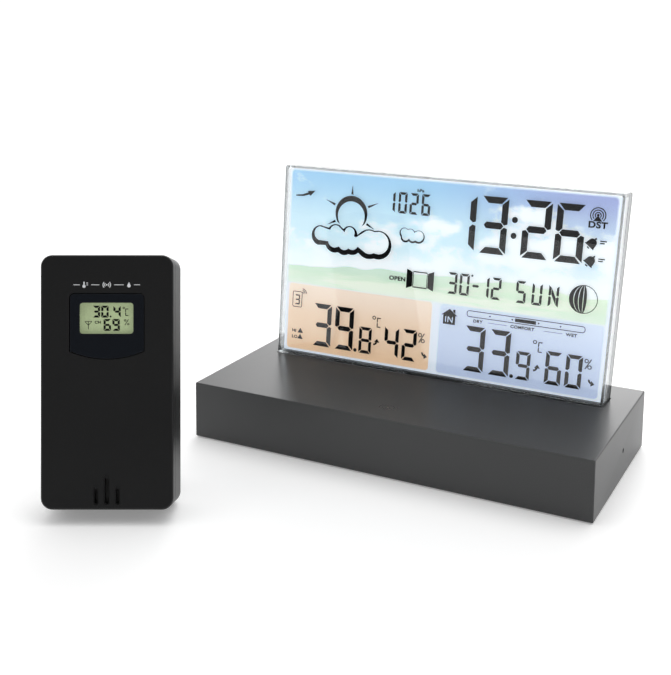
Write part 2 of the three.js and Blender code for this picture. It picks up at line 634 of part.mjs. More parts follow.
const KEYHOLE_RADIUS = 3.5;
const KEYHOLE_Z = 82;
const KEYHOLE_SLOT_HALF = 1.8;
const KEYHOLE_TOP = 89;
const KEYHOLE_POCKET_X = [-3.8, 3.8];   // closed pocket behind the keyhole, for the screw's head
const KEYHOLE_POCKET_Z = [78.2, 92.6];
const KEYHOLE_POCKET_FLOOR = 16.3;
const KEYHOLE_POCKET_WALL = 1.4;
const CONTROL_Z = 66;             // height of the channel switch and the transmit button
const SWITCH_X = -8;
const SWITCH_SLOT_HALF = 4.5;
const SWITCH_KNOB_HALF = 1.5;
const SWITCH_SLIDE_HALF = 3;
const BUTTON_X = 8;
const BUTTON_RADIUS = 2;
const BUTTON_FLANGE_RADIUS = 3.2;
const SENSOR_SCREW_HEAD_RADIUS = 2.2;
const SENSOR_SCREW_SUNK = 0.3;

const LEG_PIVOT_Z = 52;
const LEG_THICKNESS = 2.8;
const LEG_OPEN = THREE.MathUtils.degToRad(24);
const LEG_ARM = [16.6, 19.8];     // each arm's span from the middle of the case
const LEG_BAR = 3.2;
const LEG_PEG_END = 21.6;
const LEG_PEG_RADIUS = 0.85;
const LEG_HALF = LEG_THICKNESS / 2;
const LEG_PIVOT_Y = SENSOR_DEPTH - LEG_HALF;

// The case stands on its lower back edge, and the leg reaches the table at its open stop.
const SENSOR_LIFT = SENSOR_DEPTH * Math.sin(SENSOR_LEAN);
const PIVOT_HEIGHT = SENSOR_LIFT + LEG_PIVOT_Z * Math.cos(SENSOR_LEAN) - LEG_PIVOT_Y * Math.sin(SENSOR_LEAN);
const LEG_REACH = (PIVOT_HEIGHT - LEG_HALF) / Math.cos(LEG_OPEN - SENSOR_LEAN);

// The channel in the back that takes the folded leg, with a socket for each pivot peg.
function legChannel() {
  const depth = [SENSOR_DEPTH - LEG_THICKNESS - GAP, SENSOR_DEPTH + PAST];
  const low = LEG_PIVOT_Z - LEG_REACH - LEG_HALF - GAP;
  const arm = grown(LEG_ARM, GAP);
  const armZ = [low, LEG_PIVOT_Z + LEG_HALF + 0.5];
  const bar = block([-arm[1], arm[1]], depth, [low, low + LEG_BAR + 2 * GAP]);
  const sockets = [LEG_ARM[0], LEG_PEG_END + GAP];
  return [
    block(arm, depth, armZ),
    block(mirrored(arm), depth, armZ),
    bar,
    barX(LEG_PEG_RADIUS + GAP, sockets, LEG_PIVOT_Y, LEG_PIVOT_Z),
    barX(LEG_PEG_RADIUS + GAP, mirrored(sockets), LEG_PIVOT_Y, LEG_PIVOT_Z),
  ];
}

function sensorRearShell() {
  const rear = common(sensorCase, sensorSlice([REAR_SHELL_FRONT, SENSOR_DEPTH + PAST]));
  const lower = sensorHollow([0, SENSOR_DEPTH - DEEP_WALL], [SENSOR_WALL, BAY_Z[1] + 4]);
  const upper = sensorHollow([0, CASE_BACK_INNER], [BAY_Z[1] + 1, SENSOR_HEIGHT - SENSOR_WALL]);
  const bay = block(
    grown(BAY_X, BAY_WALL), [REAR_SHELL_FRONT, CASE_BACK_INNER + 0.5], grown(BAY_Z, BAY_WALL),
  );
  const bosses = SENSOR_SCREW_XS.map((x) => barY(3.2, [REAR_SHELL_FRONT, 19], x, SENSOR_SCREW_Z));
  const well = block(BAY_X, [BAY_FLOOR, SENSOR_DEPTH + PAST], BAY_Z);
  const heads = SENSOR_SCREW_XS.map((x) =>
    barY(SENSOR_SCREW_HEAD_RADIUS + GAP, [CASE_BACK_INNER - 0.2, SENSOR_DEPTH + PAST], x, SENSOR_SCREW_Z));
  const bores = SENSOR_SCREW_XS.map((x) =>
    barY(SENSOR_SCREW_HOLE, [5, SENSOR_DEPTH + PAST], x, SENSOR_SCREW_Z));
  const keyholeHousing = block(
    grown(KEYHOLE_POCKET_X, KEYHOLE_POCKET_WALL),
    [KEYHOLE_POCKET_FLOOR - KEYHOLE_POCKET_WALL, CASE_BACK_INNER + 0.5],
    grown(KEYHOLE_POCKET_Z, KEYHOLE_POCKET_WALL),
  );
  const keyholePocket = slab(
    roundedRectangle(KEYHOLE_POCKET_X, KEYHOLE_POCKET_Z, 2), [KEYHOLE_POCKET_FLOOR, CASE_BACK_INNER],
  );
  const keyholeEntry = barY(KEYHOLE_RADIUS, THROUGH_KEYHOLE, 0, KEYHOLE_Z, ROUND_SIDES);
  const keyholeSlot = slab(roundedRectangle(
    about(0, KEYHOLE_SLOT_HALF), [KEYHOLE_Z, KEYHOLE_TOP], KEYHOLE_SLOT_HALF - 0.01,
  ), THROUGH_KEYHOLE);
  const switchSlot = block(
    about(SWITCH_X, SWITCH_SLOT_HALF), THROUGH_BACK, about(CONTROL_Z, SWITCH_KNOB_HALF + GAP),
  );
  const buttonHole = barY(BUTTON_RADIUS + GAP, THROUGH_BACK, BUTTON_X, CONTROL_Z);
  return cut(
    joined(cut(rear, lower, upper), bay, keyholeHousing, ...bosses),
    well, ...heads, ...bores, keyholePocket, keyholeEntry, keyholeSlot, switchSlot, buttonHole,
    ...legChannel(),
  );
}

function sensorBatteryDoor() {
  const door = block(
    grown(BAY_X, -GAP), [SENSOR_DEPTH - SENSOR_DOOR_THICKNESS, SENSOR_DEPTH], grown(BAY_Z, -GAP),
  );
  const grips = gripSpans(BAY_Z[1] - 7).map((z) =>
    block([-5, 5], [SENSOR_DEPTH - GRIP_DEPTH, SENSOR_DEPTH + PAST], z));
  return cut(door, ...grips);
}

const SENSOR_CELL_XS = [-5.4, 5.4];
const SENSOR_CELL_Y = 12.45;
const SENSOR_CELL_Z = (BAY_Z[0] + BAY_Z[1] - CELL_LENGTH) / 2;

// The two cells stand side by side and point opposite ways.
function sensorCell(index) {
  const upright = cell().rotateX(Math.PI / 2);
  if (index === 0) upright.rotateX(Math.PI).translate(0, 0, CELL_LENGTH);
  return upright.translate(SENSOR_CELL_XS[index], SENSOR_CELL_Y, SENSOR_CELL_Z);
}

function sensorContact(plateZ, bumpZ) {
  const plate = block(grown(BAY_X, -CONTACT_THICKNESS), about(SENSOR_CELL_Y, 4), plateZ);
  return joined(plate, ...SENSOR_CELL_XS.map((x) => barZ(CONTACT_BUMP_RADIUS, bumpZ, x, SENSOR_CELL_Y)));
}

const CONTACT_TOP = [BAY_Z[1] - GAP - CONTACT_THICKNESS, BAY_Z[1] - GAP];
const CONTACT_BOTTOM = [BAY_Z[0] + GAP, BAY_Z[0] + GAP + CONTACT_THICKNESS];

function channelSwitch() {
  const knob = block(
    about(SWITCH_X, SWITCH_KNOB_HALF), [16.8, SENSOR_DEPTH - GAP], about(CONTROL_Z, SWITCH_KNOB_HALF),
  );
  const slide = block(
    about(SWITCH_X, SWITCH_SLIDE_HALF), [16.4, CASE_BACK_INNER - GAP], about(CONTROL_Z, SWITCH_SLIDE_HALF),
  );
  return joined(knob, slide);
}

function transmitButton() {
  const cap = barY(BUTTON_RADIUS, [17, SENSOR_DEPTH - 0.2], BUTTON_X, CONTROL_Z);
  const flange = barY(BUTTON_FLANGE_RADIUS, [16.2, CASE_BACK_INNER - GAP], BUTTON_X, CONTROL_Z);
  return joined(cap, flange);
}

function sensorScrew(x) {
  const headStart = CASE_BACK_INNER + 0.1;
  const head = barY(
    SENSOR_SCREW_HEAD_RADIUS, [headStart, SENSOR_DEPTH - SENSOR_SCREW_SUNK], x, SENSOR_SCREW_Z,
  );
  return joined(head, barY(SENSOR_SCREW_RADIUS, [3, headStart + 0.2], x, SENSOR_SCREW_Z));
}

// The leg is a flat frame that hangs from two pegs, drawn folded with its pivot at the origin.
function standLeg() {
  const side = (mirror) => [
    block(mirror(LEG_ARM), [-LEG_HALF, LEG_HALF], [-LEG_REACH, 0]),
    barX(LEG_HALF, mirror(LEG_ARM), 0, 0),
    barX(LEG_PEG_RADIUS, mirror([LEG_ARM[1] - 1, LEG_PEG_END]), 0, 0),
  ];
  const across = [-LEG_ARM[1], LEG_ARM[1]];
  const bar = block(across, [-LEG_HALF, LEG_HALF], [-LEG_REACH, LEG_BAR - LEG_REACH - LEG_HALF]);
  const foot = barX(LEG_HALF, across, 0, -LEG_REACH);
  return joined(bar, foot, ...side((span) => span), ...side(mirrored));
}

const sensorUnit = new THREE.Group();
sensorUnit.rotation.x = -SENSOR_LEAN;
sensorUnit.add(
  part('sensor_front_shell', 'sensorBlack', sensorFrontShell()),
  part('sensor_rear_shell', 'sensorBlack', sensorRearShell()),
  part('sensor_lens', 'lens', slab(lensOutline(0), [0.1, LENS_BACK], 0, LENS_CURVE_SEGMENTS)),
  part('sensor_lcd', 'liquidCrystal', block(grown(WINDOW_X, -GAP), [2, 3.6], grown(WINDOW_Z, -GAP))),
  part('sensor_board', 'circuitBoard', block([-20, 20], [4.1, 5.2], [15, 85.5])),
  part('sensor_probe', 'white', block([-6, 6], [2.8, 4.6], [4, 13])),
  part('sensor_antenna', 'copper', barZ(0.7, [16, 56], -21, 8)),
  part('sensor_battery_door', 'sensorBlack', sensorBatteryDoor()),
  part('sensor_contact_top', 'spring',
    sensorContact(CONTACT_TOP, [SENSOR_CELL_Z + CELL_LENGTH + GAP, CONTACT_TOP[0] + 0.1])),
  part('sensor_contact_bottom', 'spring',
    sensorContact(CONTACT_BOTTOM, [CONTACT_BOTTOM[1] - 0.1, SENSOR_CELL_Z - GAP])),
  part('sensor_cell_1', 'cellGreen', sensorCell(0)),
  part('sensor_cell_2', 'cellGreen', sensorCell(1)),
  part('channel_switch', 'underBlack', channelSwitch()),
  part('transmit_button', 'rubber', transmitButton()),
  part('sensor_screw_left', 'screwSteel', sensorScrew(SENSOR_SCREW_XS[0])),
  part('sensor_screw_right', 'screwSteel', sensorScrew(SENSOR_SCREW_XS[1])),
);

const legPivot = new THREE.Group();
legPivot.position.set(0, LEG_PIVOT_Y, LEG_PIVOT_Z);
legPivot.rotation.x = LEG_OPEN;
legPivot.add(part('stand_leg', 'sensorBlack', standLeg()));
sensorUnit.add(legPivot);

const sensorPlace = new THREE.Group();
sensorPlace.position.set(SENSOR_X, SENSOR_Y, SENSOR_LIFT);
sensorPlace.rotation.z = SENSOR_TURN;
sensorPlace.add(sensorUnit);

// ---------------------------------------------------------------- the whole station

const weatherStation = new THREE.Group();
weatherStation.name = 'home_weather_station';
weatherStation.add(consoleUnit, displayBlock, sensorPlace);

export default weatherStation;
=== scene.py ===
from math import asin, cos, degrees, pi, radians, sin

import bmesh
import bpy
from mathutils import Matrix, Vector


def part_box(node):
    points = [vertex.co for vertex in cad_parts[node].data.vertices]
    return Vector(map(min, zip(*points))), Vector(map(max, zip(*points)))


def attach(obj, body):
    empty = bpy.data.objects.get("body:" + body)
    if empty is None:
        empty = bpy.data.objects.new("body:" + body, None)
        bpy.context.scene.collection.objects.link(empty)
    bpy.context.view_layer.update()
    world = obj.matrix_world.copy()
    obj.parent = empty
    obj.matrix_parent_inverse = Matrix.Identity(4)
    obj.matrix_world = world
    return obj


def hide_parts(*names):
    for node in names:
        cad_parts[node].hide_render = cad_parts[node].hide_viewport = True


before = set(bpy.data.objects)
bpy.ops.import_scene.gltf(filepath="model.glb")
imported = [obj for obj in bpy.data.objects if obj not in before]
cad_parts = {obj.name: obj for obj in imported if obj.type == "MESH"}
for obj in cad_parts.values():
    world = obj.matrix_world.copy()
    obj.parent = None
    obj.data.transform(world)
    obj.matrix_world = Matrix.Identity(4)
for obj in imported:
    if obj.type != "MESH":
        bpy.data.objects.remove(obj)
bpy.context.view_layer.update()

# ---------------------------------------------------------------- camera
# It looks down a little from the front right, square on to the outdoor sensor's face.

scene = bpy.context.scene
camera_data = bpy.data.cameras.new("camera")
camera_data.sensor_width = 36
camera_data.lens = 57.51
camera = bpy.data.objects.new("camera", camera_data)
camera.location = (0.1748, -0.4118, 0.1952)
camera.rotation_mode = "QUATERNION"
camera.rotation_quaternion = Vector((-0.4412, 0.8417, -0.3112)).to_track_quat("-Z", "Y")
scene.collection.objects.link(camera)
scene.camera = camera

# ---------------------------------------------------------------- studio
# A white table top under a white tent. The side of the tent behind the camera is left dark,
# so that the black cases and the clear display stay deep in tone.

scene.view_settings.view_transform = "Standard"

TENT_WHITE = 0.93
TENT_DARK = 0.10
TENT_PATCH = 3.6                             # extra light from a panel behind and to the left
DARK_SIDE = Vector((0.44, -0.84, 0.31))      # towards the open side of the tent
BRIGHT_SIDE = Vector((-0.22, 0.89, 0.40))
TABLE_REACH = 30.0
TABLE_WHITE = 0.88
TABLE_GLOW = 0.23                            # lifts the table top to the white of the tent


def node(tree, kind, inputs=None, **settings):
    """Adds a shader node. Each input is a plain value or the output socket that feeds it."""
    made = tree.nodes.new("ShaderNode" + kind)
    for name, value in settings.items():
        setattr(made, name, value)
    for name, value in (inputs or {}).items():
        if isinstance(value, bpy.types.NodeSocket):
            tree.links.new(value, made.inputs[name])
        else:
            made.inputs[name].default_value = value
    return made


tent = bpy.data.worlds.new("tent")
tent.use_nodes = True
scene.world = tent
sky = tent.node_tree
direction = node(sky, "TexCoord").outputs["Generated"]
towards_dark = node(sky, "VectorMath", {0: direction, 1: DARK_SIDE}, operation="DOT_PRODUCT")
shade = node(sky, "MapRange", {
    "Value": towards_dark.outputs["Value"], "From Min": 0.45, "From Max": 0.85,
    "To Min": TENT_WHITE, "To Max": TENT_DARK,
}, interpolation_type="SMOOTHSTEP")
towards_bright = node(sky, "VectorMath", {0: direction, 1: BRIGHT_SIDE}, operation="DOT_PRODUCT")
patch = node(sky, "MapRange", {
    "Value": towards_bright.outputs["Value"], "From Min": 0.90, "From Max": 0.995, "To Min": 0.0,
    "To Max": TENT_PATCH,
}, interpolation_type="SMOOTHSTEP")
lit = node(sky, "Math", {0: shade.outputs["Result"], 1: patch.outputs["Result"]})
camera_sees = node(sky, "LightPath").outputs["Is Camera Ray"]
brightness = node(sky, "Mix", {"Factor": camera_sees, "A": lit.outputs["Value"], "B": 1.0})
background = sky.nodes["Background"]
background.inputs["Color"].default_value = (1.0, 1.0, 1.0, 1)
sky.links.new(brightness.outputs["Result"], background.inputs["Strength"])


def soft_box(name, place, aim, size, power):
    """A square area lamp at place that points at aim."""
    lamp = bpy.data.lights.new(name, "AREA")
    lamp.shape = "SQUARE"
    lamp.size = size
    lamp.energy = power
    stand = bpy.data.objects.new(name, lamp)
    stand.location = place
    stand.rotation_euler = (Vector(aim) - Vector(place)).to_track_quat("-Z", "Y").to_euler()
    scene.collection.objects.link(stand)
    return stand


soft_box("top_light", (0.1, 0.25, 1.3), (0, 0, 0), 1.0, 5.0)

table_mesh = bmesh.new()
bmesh.ops.create_grid(table_mesh, x_segments=1, y_segments=1, size=TABLE_REACH)
table_data = bpy.data.meshes.new("table_top")
table_mesh.to_mesh(table_data)
table_mesh.free()
table = bpy.data.objects.new("table_top", table_data)
table_paint = bpy.data.materials.new("table_paint")
table_paint.use_nodes = True
table_shader = table_paint.node_tree.nodes["Principled BSDF"]
table_shader.inputs["Base Color"].default_value = (TABLE_WHITE, TABLE_WHITE, TABLE_WHITE, 1)
table_shader.inputs["Roughness"].default_value = 0.55
table_shader.inputs["Specular IOR Level"].default_value = 0.2
table_shader.inputs["Emission Color"].default_value = (1, 1, 1, 1)
table_shader.inputs["Emission Strength"].default_value = TABLE_GLOW
table_data.materials.append(table_paint)
scene.collection.objects.link(table)

# ---------------------------------------------------------------- console base housing
# One moulding of satin black ABS, open below: a flat top, four walls, a seat for the display and
# four screw bosses. Its outer edges are almost sharp. The rear wall has the key and socket holes.

MM = 1000.0                                  # millimetres in a metre; the drawings below are in mm
base_low, base_high = (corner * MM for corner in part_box("base_housing"))
BASE_DRAFT = 1.0
BASE_EDGE = 0.5
BASE_WALL = 2.0
TOP_WALL = 2.2
FIT = 0.3                                    # gap left between pieces that meet
DISPLAY_HALF = (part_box("display_front_shell")[1] * MM).x
DISPLAY_LEAN = radians(6.5)
DISPLAY_DEPTH = 13.5
DISPLAY_FRONT = 11.9                         # where the display's front face meets the base's top
on_display = Matrix.Translation((0, DISPLAY_FRONT, base_high.z)) @ Matrix.Rotation(-DISPLAY_LEAN, 4, "X")
TENON_XS = (-55, 55)
TENON_HALF = 7
TENON_Y = (7.6, 13)
RIBBON_HALF = 15
KEY_XS = [-50 + 14 * i for i in range(6)]
KEY_Z = 14
KEY_HALF = (4.5, 2.5)
KEY_CORNER = 1.3
SMOOTH_BELOW = radians(35)                   # faces that meet at less than this are shaded as one
SOCKET = (72, 13.4)
SOCKET_COLLAR = 4.2
VENT = (4.2, 12.7)
VENT_RADIUS = 1
SCREW_PLACES = [(x, y) for y in (-33, 33) for x in (-82, 82)]
FOOT_PLACES = [(x, y) for y in (-32, 32) for x in (-66, 66)]


def about(middle, half):
    return (middle - half, middle + half)


def slab(x, y, z, axis="Y", corner=0, edge=0, corner_steps=6, edge_steps=3, eased=(True, True)):
    """A block from its spans. The corners that run along axis are rounded, and then the edges of
    its low and high ends are eased."""
    bm = bmesh.new()
    bmesh.ops.create_cube(bm, size=1)
    bmesh.ops.scale(bm, vec=(x[1] - x[0], y[1] - y[0], z[1] - z[0]), verts=bm.verts)
    bmesh.ops.translate(bm, vec=((x[0] + x[1]) / 2, (y[0] + y[1]) / 2, (z[0] + z[1]) / 2), verts=bm.verts)
    along = "XYZ".index(axis)
    if corner:
        upright = [e for e in bm.edges if abs(e.verts[0].co[along] - e.verts[1].co[along]) > 1e-6]
        bmesh.ops.bevel(bm, geom=upright, affect="EDGES", offset=corner, segments=corner_steps,
                        profile=0.5, material=-1)
    if edge:
        ends = (x, y, z)[along]
        wanted = [end for end, is_eased in zip(ends, eased) if is_eased]
        rims = [e for e in bm.edges for end in wanted
                if all(abs(v.co[along] - end) < 1e-5 for v in e.verts)]
        bmesh.ops.bevel(bm, geom=rims, affect="EDGES", offset=edge, segments=edge_steps,
                        profile=0.5, material=-1)
    return bm


def peg(radius, span, place, axis="Z", sides=32):
    """A round bar along axis. Place is its position across the axis, in the order of X, Y and Z."""
    bm = bmesh.new()
    bmesh.ops.create_cone(bm, cap_ends=True, segments=sides, radius1=radius, radius2=radius,
                          depth=span[1] - span[0])
    turn = {"X": Matrix.Rotation(pi / 2, 4, "Y"), "Y": Matrix.Rotation(-pi / 2, 4, "X"),
            "Z": Matrix()}[axis]
    middle = list(place)
    middle.insert("XYZ".index(axis), (span[0] + span[1]) / 2)
    bmesh.ops.transform(bm, matrix=Matrix.Translation(middle) @ turn, verts=bm.verts)
    return bm


def together(*parts):
    """Several bmeshes as one, unchanged. They must not touch each other."""
    whole = bmesh.new()
    for part in parts:
        mesh = bpy.data.meshes.new("part")
        part.to_mesh(mesh)
        part.free()
        whole.from_mesh(mesh)
        bpy.data.meshes.remove(mesh)
    return whole


def placed(bm, matrix):
    bmesh.ops.transform(bm, matrix=matrix, verts=bm.verts)
    return bm


def boolean(bm, operation, tools):
    """Each tool in turn is joined to the mesh (UNION), cut from it (DIFFERENCE) or shared with it
    (INTERSECT), and the result comes back as a new bmesh."""
    objects = []
    for shape in (bm, *tools):
        mesh = bpy.data.meshes.new("shape")
        shape.to_mesh(mesh)
        shape.free()
        made = bpy.data.objects.new("shape", mesh)
        scene.collection.objects.link(made)
        objects.append(made)
    for tool in objects[1:]:
        step = objects[0].modifiers.new("step", "BOOLEAN")
        step.operation = operation
        step.solver = "EXACT"
        step.object = tool
    bpy.context.view_layer.update()
    shown = objects[0].evaluated_get(bpy.context.evaluated_depsgraph_get())
    result = bmesh.new()
    result.from_mesh(shown.to_mesh())
    shown.to_mesh_clear()
    for made in objects:
        mesh = made.data
        bpy.data.objects.remove(made)
        bpy.data.meshes.remove(mesh)
    bmesh.ops.remove_doubles(result, verts=result.verts, dist=1e-4)
    bmesh.ops.dissolve_degenerate(result, edges=result.edges, dist=1e-4)
    return result


def piece(name, bm, material, body, stands_for=(), place=Matrix(), ease=0.0):
    """Turns a drawing in mm into a finished piece in metres that rides on a body. Its sharper
    edges stay crisp, or are eased by a small live bevel."""
    bmesh.ops.transform(bm, matrix=Matrix.Scale(1 / MM, 4) @ place, verts=bm.verts)
    for face in bm.faces:
        face.smooth = True
    for edge in bm.edges:
        edge.smooth = edge.calc_face_angle(0) < SMOOTH_BELOW
    mesh = bpy.data.meshes.new(name)
    bm.to_mesh(mesh)
    bm.free()
    mesh.materials.append(material)
    made = bpy.data.objects.new(name, mesh)
    scene.collection.objects.link(made)
    if ease:
        bevel = made.modifiers.new("eased edges", "BEVEL")
        bevel.width = ease / MM
        bevel.segments = 2
        bevel.limit_method = "ANGLE"
        bevel.angle_limit = SMOOTH_BELOW
        bevel.miter_outer = "MITER_ARC"
    flatten = made.modifiers.new("flat faces", "WEIGHTED_NORMAL")
    flatten.keep_sharp = True
    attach(made, body)
    if stands_for:
        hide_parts(*stands_for)
    return made


def new_group(name, inputs, outputs):
    """A shader node group. Inputs map a name to its default, outputs map a name to its kind."""
    group = bpy.data.node_groups.new(name, "ShaderNodeTree")
    for label, default in inputs.items():
        kind = "Float" if isinstance(default, (int, float)) else "Color" if len(default) == 4 else "Vector"
        group.interface.new_socket(label, in_out="INPUT",
                                   socket_type="NodeSocket" + kind).default_value = default
    for label, kind in outputs.items():
        group.interface.new_socket(label, in_out="OUTPUT", socket_type="NodeSocket" + kind)
    return group, group.nodes.new("NodeGroupInput").outputs, group.nodes.new("NodeGroupOutput").inputs


# Moulded plastic: a spark-eroded grain, slow changes of gloss where it has been handled, and
# paler edges where it has been rubbed.
moulded, given, gives = new_group(
    "moulded_surface",
    {"Colour": (0.02, 0.02, 0.02, 1), "Rubbed Colour": (0.05, 0.05, 0.05, 1), "Roughness": 0.4,
     "Gloss Spread": 0.08, "Grain Scale": 2500.0},
    {"Colour": "Color", "Roughness": "Float", "Grain": "Float"},
)
at = node(moulded, "TexCoord").outputs["Object"]
grain = node(moulded, "TexNoise", {"Vector": at, "Scale": given["Grain Scale"], "Detail": 3.0,
                                   "Roughness": 0.65})
handled = node(moulded, "TexNoise", {"Vector": at, "Scale": 18.0, "Detail": 2.0, "Roughness": 0.5})
handled_share = node(moulded, "MapRange", {
    "Value": handled.outputs["Fac"], "From Min": 0.3, "From Max": 0.7, "To Min": -1.0, "To Max": 1.0,
})
gloss = node(moulded, "Math", {
    0: handled_share.outputs["Result"], 1: given["Gloss Spread"], 2: given["Roughness"],
}, operation="MULTIPLY_ADD")
edge_share = node(moulded, "MapRange", {
    "Value": node(moulded, "NewGeometry").outputs["Pointiness"],
    "From Min": 0.52, "From Max": 0.62, "To Min": 0.0, "To Max": 1.0,
})
grain_tone = node(moulded, "MapRange", {
    "Value": grain.outputs["Fac"], "From Min": 0.3, "From Max": 0.7, "To Min": 0.86, "To Max": 1.14,
})
toned = node(moulded, "VectorMath", {0: given["Colour"], "Scale": grain_tone.outputs["Result"]},
             operation="SCALE")
rubbed = node(moulded, "Mix", {
    "Factor": edge_share.outputs["Result"], "A": toned.outputs["Vector"], "B": given["Rubbed Colour"],
}, data_type="RGBA")
moulded.links.new(rubbed.outputs["Result"], gives["Colour"])
moulded.links.new(gloss.outputs["Value"], gives["Roughness"])
moulded.links.new(grain.outputs["Fac"], gives["Grain"])


def bare_material(name, colour, roughness, extra=None):
    """A material whose shader has plain values. Patterns are wired to it afterwards."""
    made = bpy.data.materials.new(name)
    made.use_nodes = True
    shader = made.node_tree.nodes["Principled BSDF"]
    shader.inputs["Base Color"].default_value = (*colour, 1)
    shader.inputs["Roughness"].default_value = roughness
    for socket, value in (extra or {}).items():
        shader.inputs[socket].default_value = value
    return made, made.node_tree, shader


def add_bump(tree, shader, height, strength, distance):
    bump = node(tree, "Bump", {"Height": height, "Strength": strength, "Distance": distance})
    tree.links.new(bump.outputs["Normal"], shader.inputs["Normal"])


def plastic(name, colour, roughness, spread=0.06, grain_scale=2500.0, grain_depth=0.00002, rub=2.2,
            extra=None):
    """A moulded plastic: rub says how much paler its worn edges are."""
    made, tree, shader = bare_material(name, colour, roughness, extra)
    surface = node(tree, "Group", node_tree=moulded)
    surface.inputs["Colour"].default_value = (*colour, 1)
    surface.inputs["Rubbed Colour"].default_value = (*[min(1.0, c * rub) for c in colour], 1)
    surface.inputs["Roughness"].default_value = roughness
    surface.inputs["Gloss Spread"].default_value = spread
    surface.inputs["Grain Scale"].default_value = grain_scale
    tree.links.new(surface.outputs["Colour"], shader.inputs["Base Color"])
    tree.links.new(surface.outputs["Roughness"], shader.inputs["Roughness"])
    add_bump(tree, shader, surface.outputs["Grain"], 0.35, grain_depth)
    return made


satin_black = plastic("satin_black_plastic", (0.060, 0.061, 0.062), 0.30, spread=0.02, grain_scale=2200.0,
                      grain_depth=0.00001, rub=1.3, extra={"Specular IOR Level": 0.20})

outside = slab((-base_high.x, base_high.x), (base_low.y, base_high.y), (base_low.z, base_high.z))
for v in outside.verts:
    if v.co.z > 0 and v.co.z > base_high.z - 1e-3:
        v.co.x -= BASE_DRAFT if v.co.x > 0 else -BASE_DRAFT
bmesh.ops.bevel(outside, geom=outside.edges[:], affect="EDGES", offset=BASE_EDGE, segments=3, profile=0.5,
                material=-1)
hollow = slab((BASE_WALL - base_high.x, base_high.x - BASE_WALL),
              (base_low.y + BASE_WALL, base_high.y - BASE_WALL), (-1, base_high.z - TOP_WALL))
for v in hollow.verts:
    if v.co.z > 0:
        v.co.x -= BASE_DRAFT if v.co.x > 0 else -BASE_DRAFT
housing = boolean(outside, "DIFFERENCE", [hollow])
seat = placed(slab(about(0, DISPLAY_HALF + 3), (-2.5, DISPLAY_DEPTH + 2.5), (-4.2, -0.5)), on_display)
bosses = [peg(3.5, (3, base_high.z - TOP_WALL + 0.5), place) for place in SCREW_PLACES]
housing = boolean(housing, "UNION", [seat, together(*bosses)])
trough = placed(slab(about(0, DISPLAY_HALF + FIT), (-FIT, DISPLAY_DEPTH + FIT), (-FIT, 20)), on_display)
tenon_holes = together(*[
    placed(slab(about(x, TENON_HALF + FIT), (TENON_Y[0] - FIT, TENON_Y[1] + FIT), (-10, 1)), on_display)
    for x in TENON_XS
])
ribbon_hole = placed(slab(about(0, RIBBON_HALF + 0.5), (9.4, 10.7), (-10, 1)), on_display)
screw_bores = together(*[peg(1.4, (-1, 14), place) for place in SCREW_PLACES])
rear_cut = (base_high.y - BASE_WALL - 1, base_high.y + 1)
key_holes = together(*[
    slab(about(x, KEY_HALF[0] + FIT), rear_cut, about(KEY_Z, KEY_HALF[1] + FIT), corner=KEY_CORNER + FIT)
    for x in KEY_XS
])
socket_hole = peg(SOCKET_COLLAR + FIT, rear_cut, SOCKET, "Y", 48)
vent_hole = peg(VENT_RADIUS, (base_high.x - 5, base_high.x + 3), VENT, "X", 24)
housing = boolean(housing, "DIFFERENCE", [
    trough, tenon_holes, ribbon_hole, screw_bores, together(key_holes, socket_hole), vent_hole,
])
piece("base_moulding", housing, satin_black, "console", ["base_housing"], ease=0.12)

# ---------------------------------------------------------------- touch mark
# A small ring and dot, printed in a glossier black over the touch pad near the base's front edge.

TOUCH_PLACE = (-1, -28.5)


def ring(outer, inner, sides=40, start=0, turn=360):
    """A flat ring, or part of one, in the XZ plane round the origin, in degrees from +X."""
    bm = bmesh.new()
    across, up = cos(radians(start)), sin(radians(start))
    ends = [bm.verts.new((radius * across, 0, radius * up)) for radius in (inner, outer)]
    bm.edges.new(ends)
    bmesh.ops.spin(bm, geom=bm.verts[:] + bm.edges[:], cent=(0, 0, 0), axis=(0, -1, 0), dvec=(0, 0, 0),
                   angle=radians(turn), steps=max(2, round(sides * turn / 360)), use_merge=turn == 360)
    return bm


def dot(radius, sides=24):
    bm = bmesh.new()
    bmesh.ops.create_circle(bm, cap_ends=True, segments=sides, radius=radius)
    bmesh.ops.rotate(bm, matrix=Matrix.Rotation(pi / 2, 3, "X"), verts=bm.verts)
    return bm


def thickened(bm, thickness):
    """Gives flat faces in the XZ plane a thickness along Y and points all faces out."""
    bmesh.ops.remove_doubles(bm, verts=bm.verts, dist=1e-4)
    lifted = bmesh.ops.extrude_face_region(bm, geom=bm.faces[:])["geom"]
    raised = [part for part in lifted if isinstance(part, bmesh.types.BMVert)]
    bmesh.ops.translate(bm, vec=(0, thickness, 0), verts=raised)
    bmesh.ops.recalc_face_normals(bm, faces=bm.faces)
    return bm


touch_ink = plastic("touch_mark_ink", (0.035, 0.036, 0.038), 0.22, spread=0.03, rub=1.2)
mark = together(ring(2.6, 2.3), dot(0.8), ring(4.1, 3.85, start=-35, turn=70),
                ring(4.1, 3.85, start=145, turn=70))
mark = placed(thickened(mark, 0.03), Matrix.Rotation(-pi / 2, 4, "X"))
piece("touch_mark", mark, touch_ink, "console",
      place=Matrix.Translation((*TOUCH_PLACE, base_high.z + 0.02)))

# ---------------------------------------------------------------- clear display shells
# Two trays of clear polycarbonate that close on each other with a fine gap between. The rear one is
# faintly smoky. It has two tenons, which go down through the seat, and a slot for the ribbon.

DISPLAY_HEIGHT = 89.65
DISPLAY_RIM = 1.2
CLEAR_PLATE = 1.5
DISPLAY_PARTING = 7
CLEAR_CORNER = 1.2
CLEAR_EDGE = 0.5


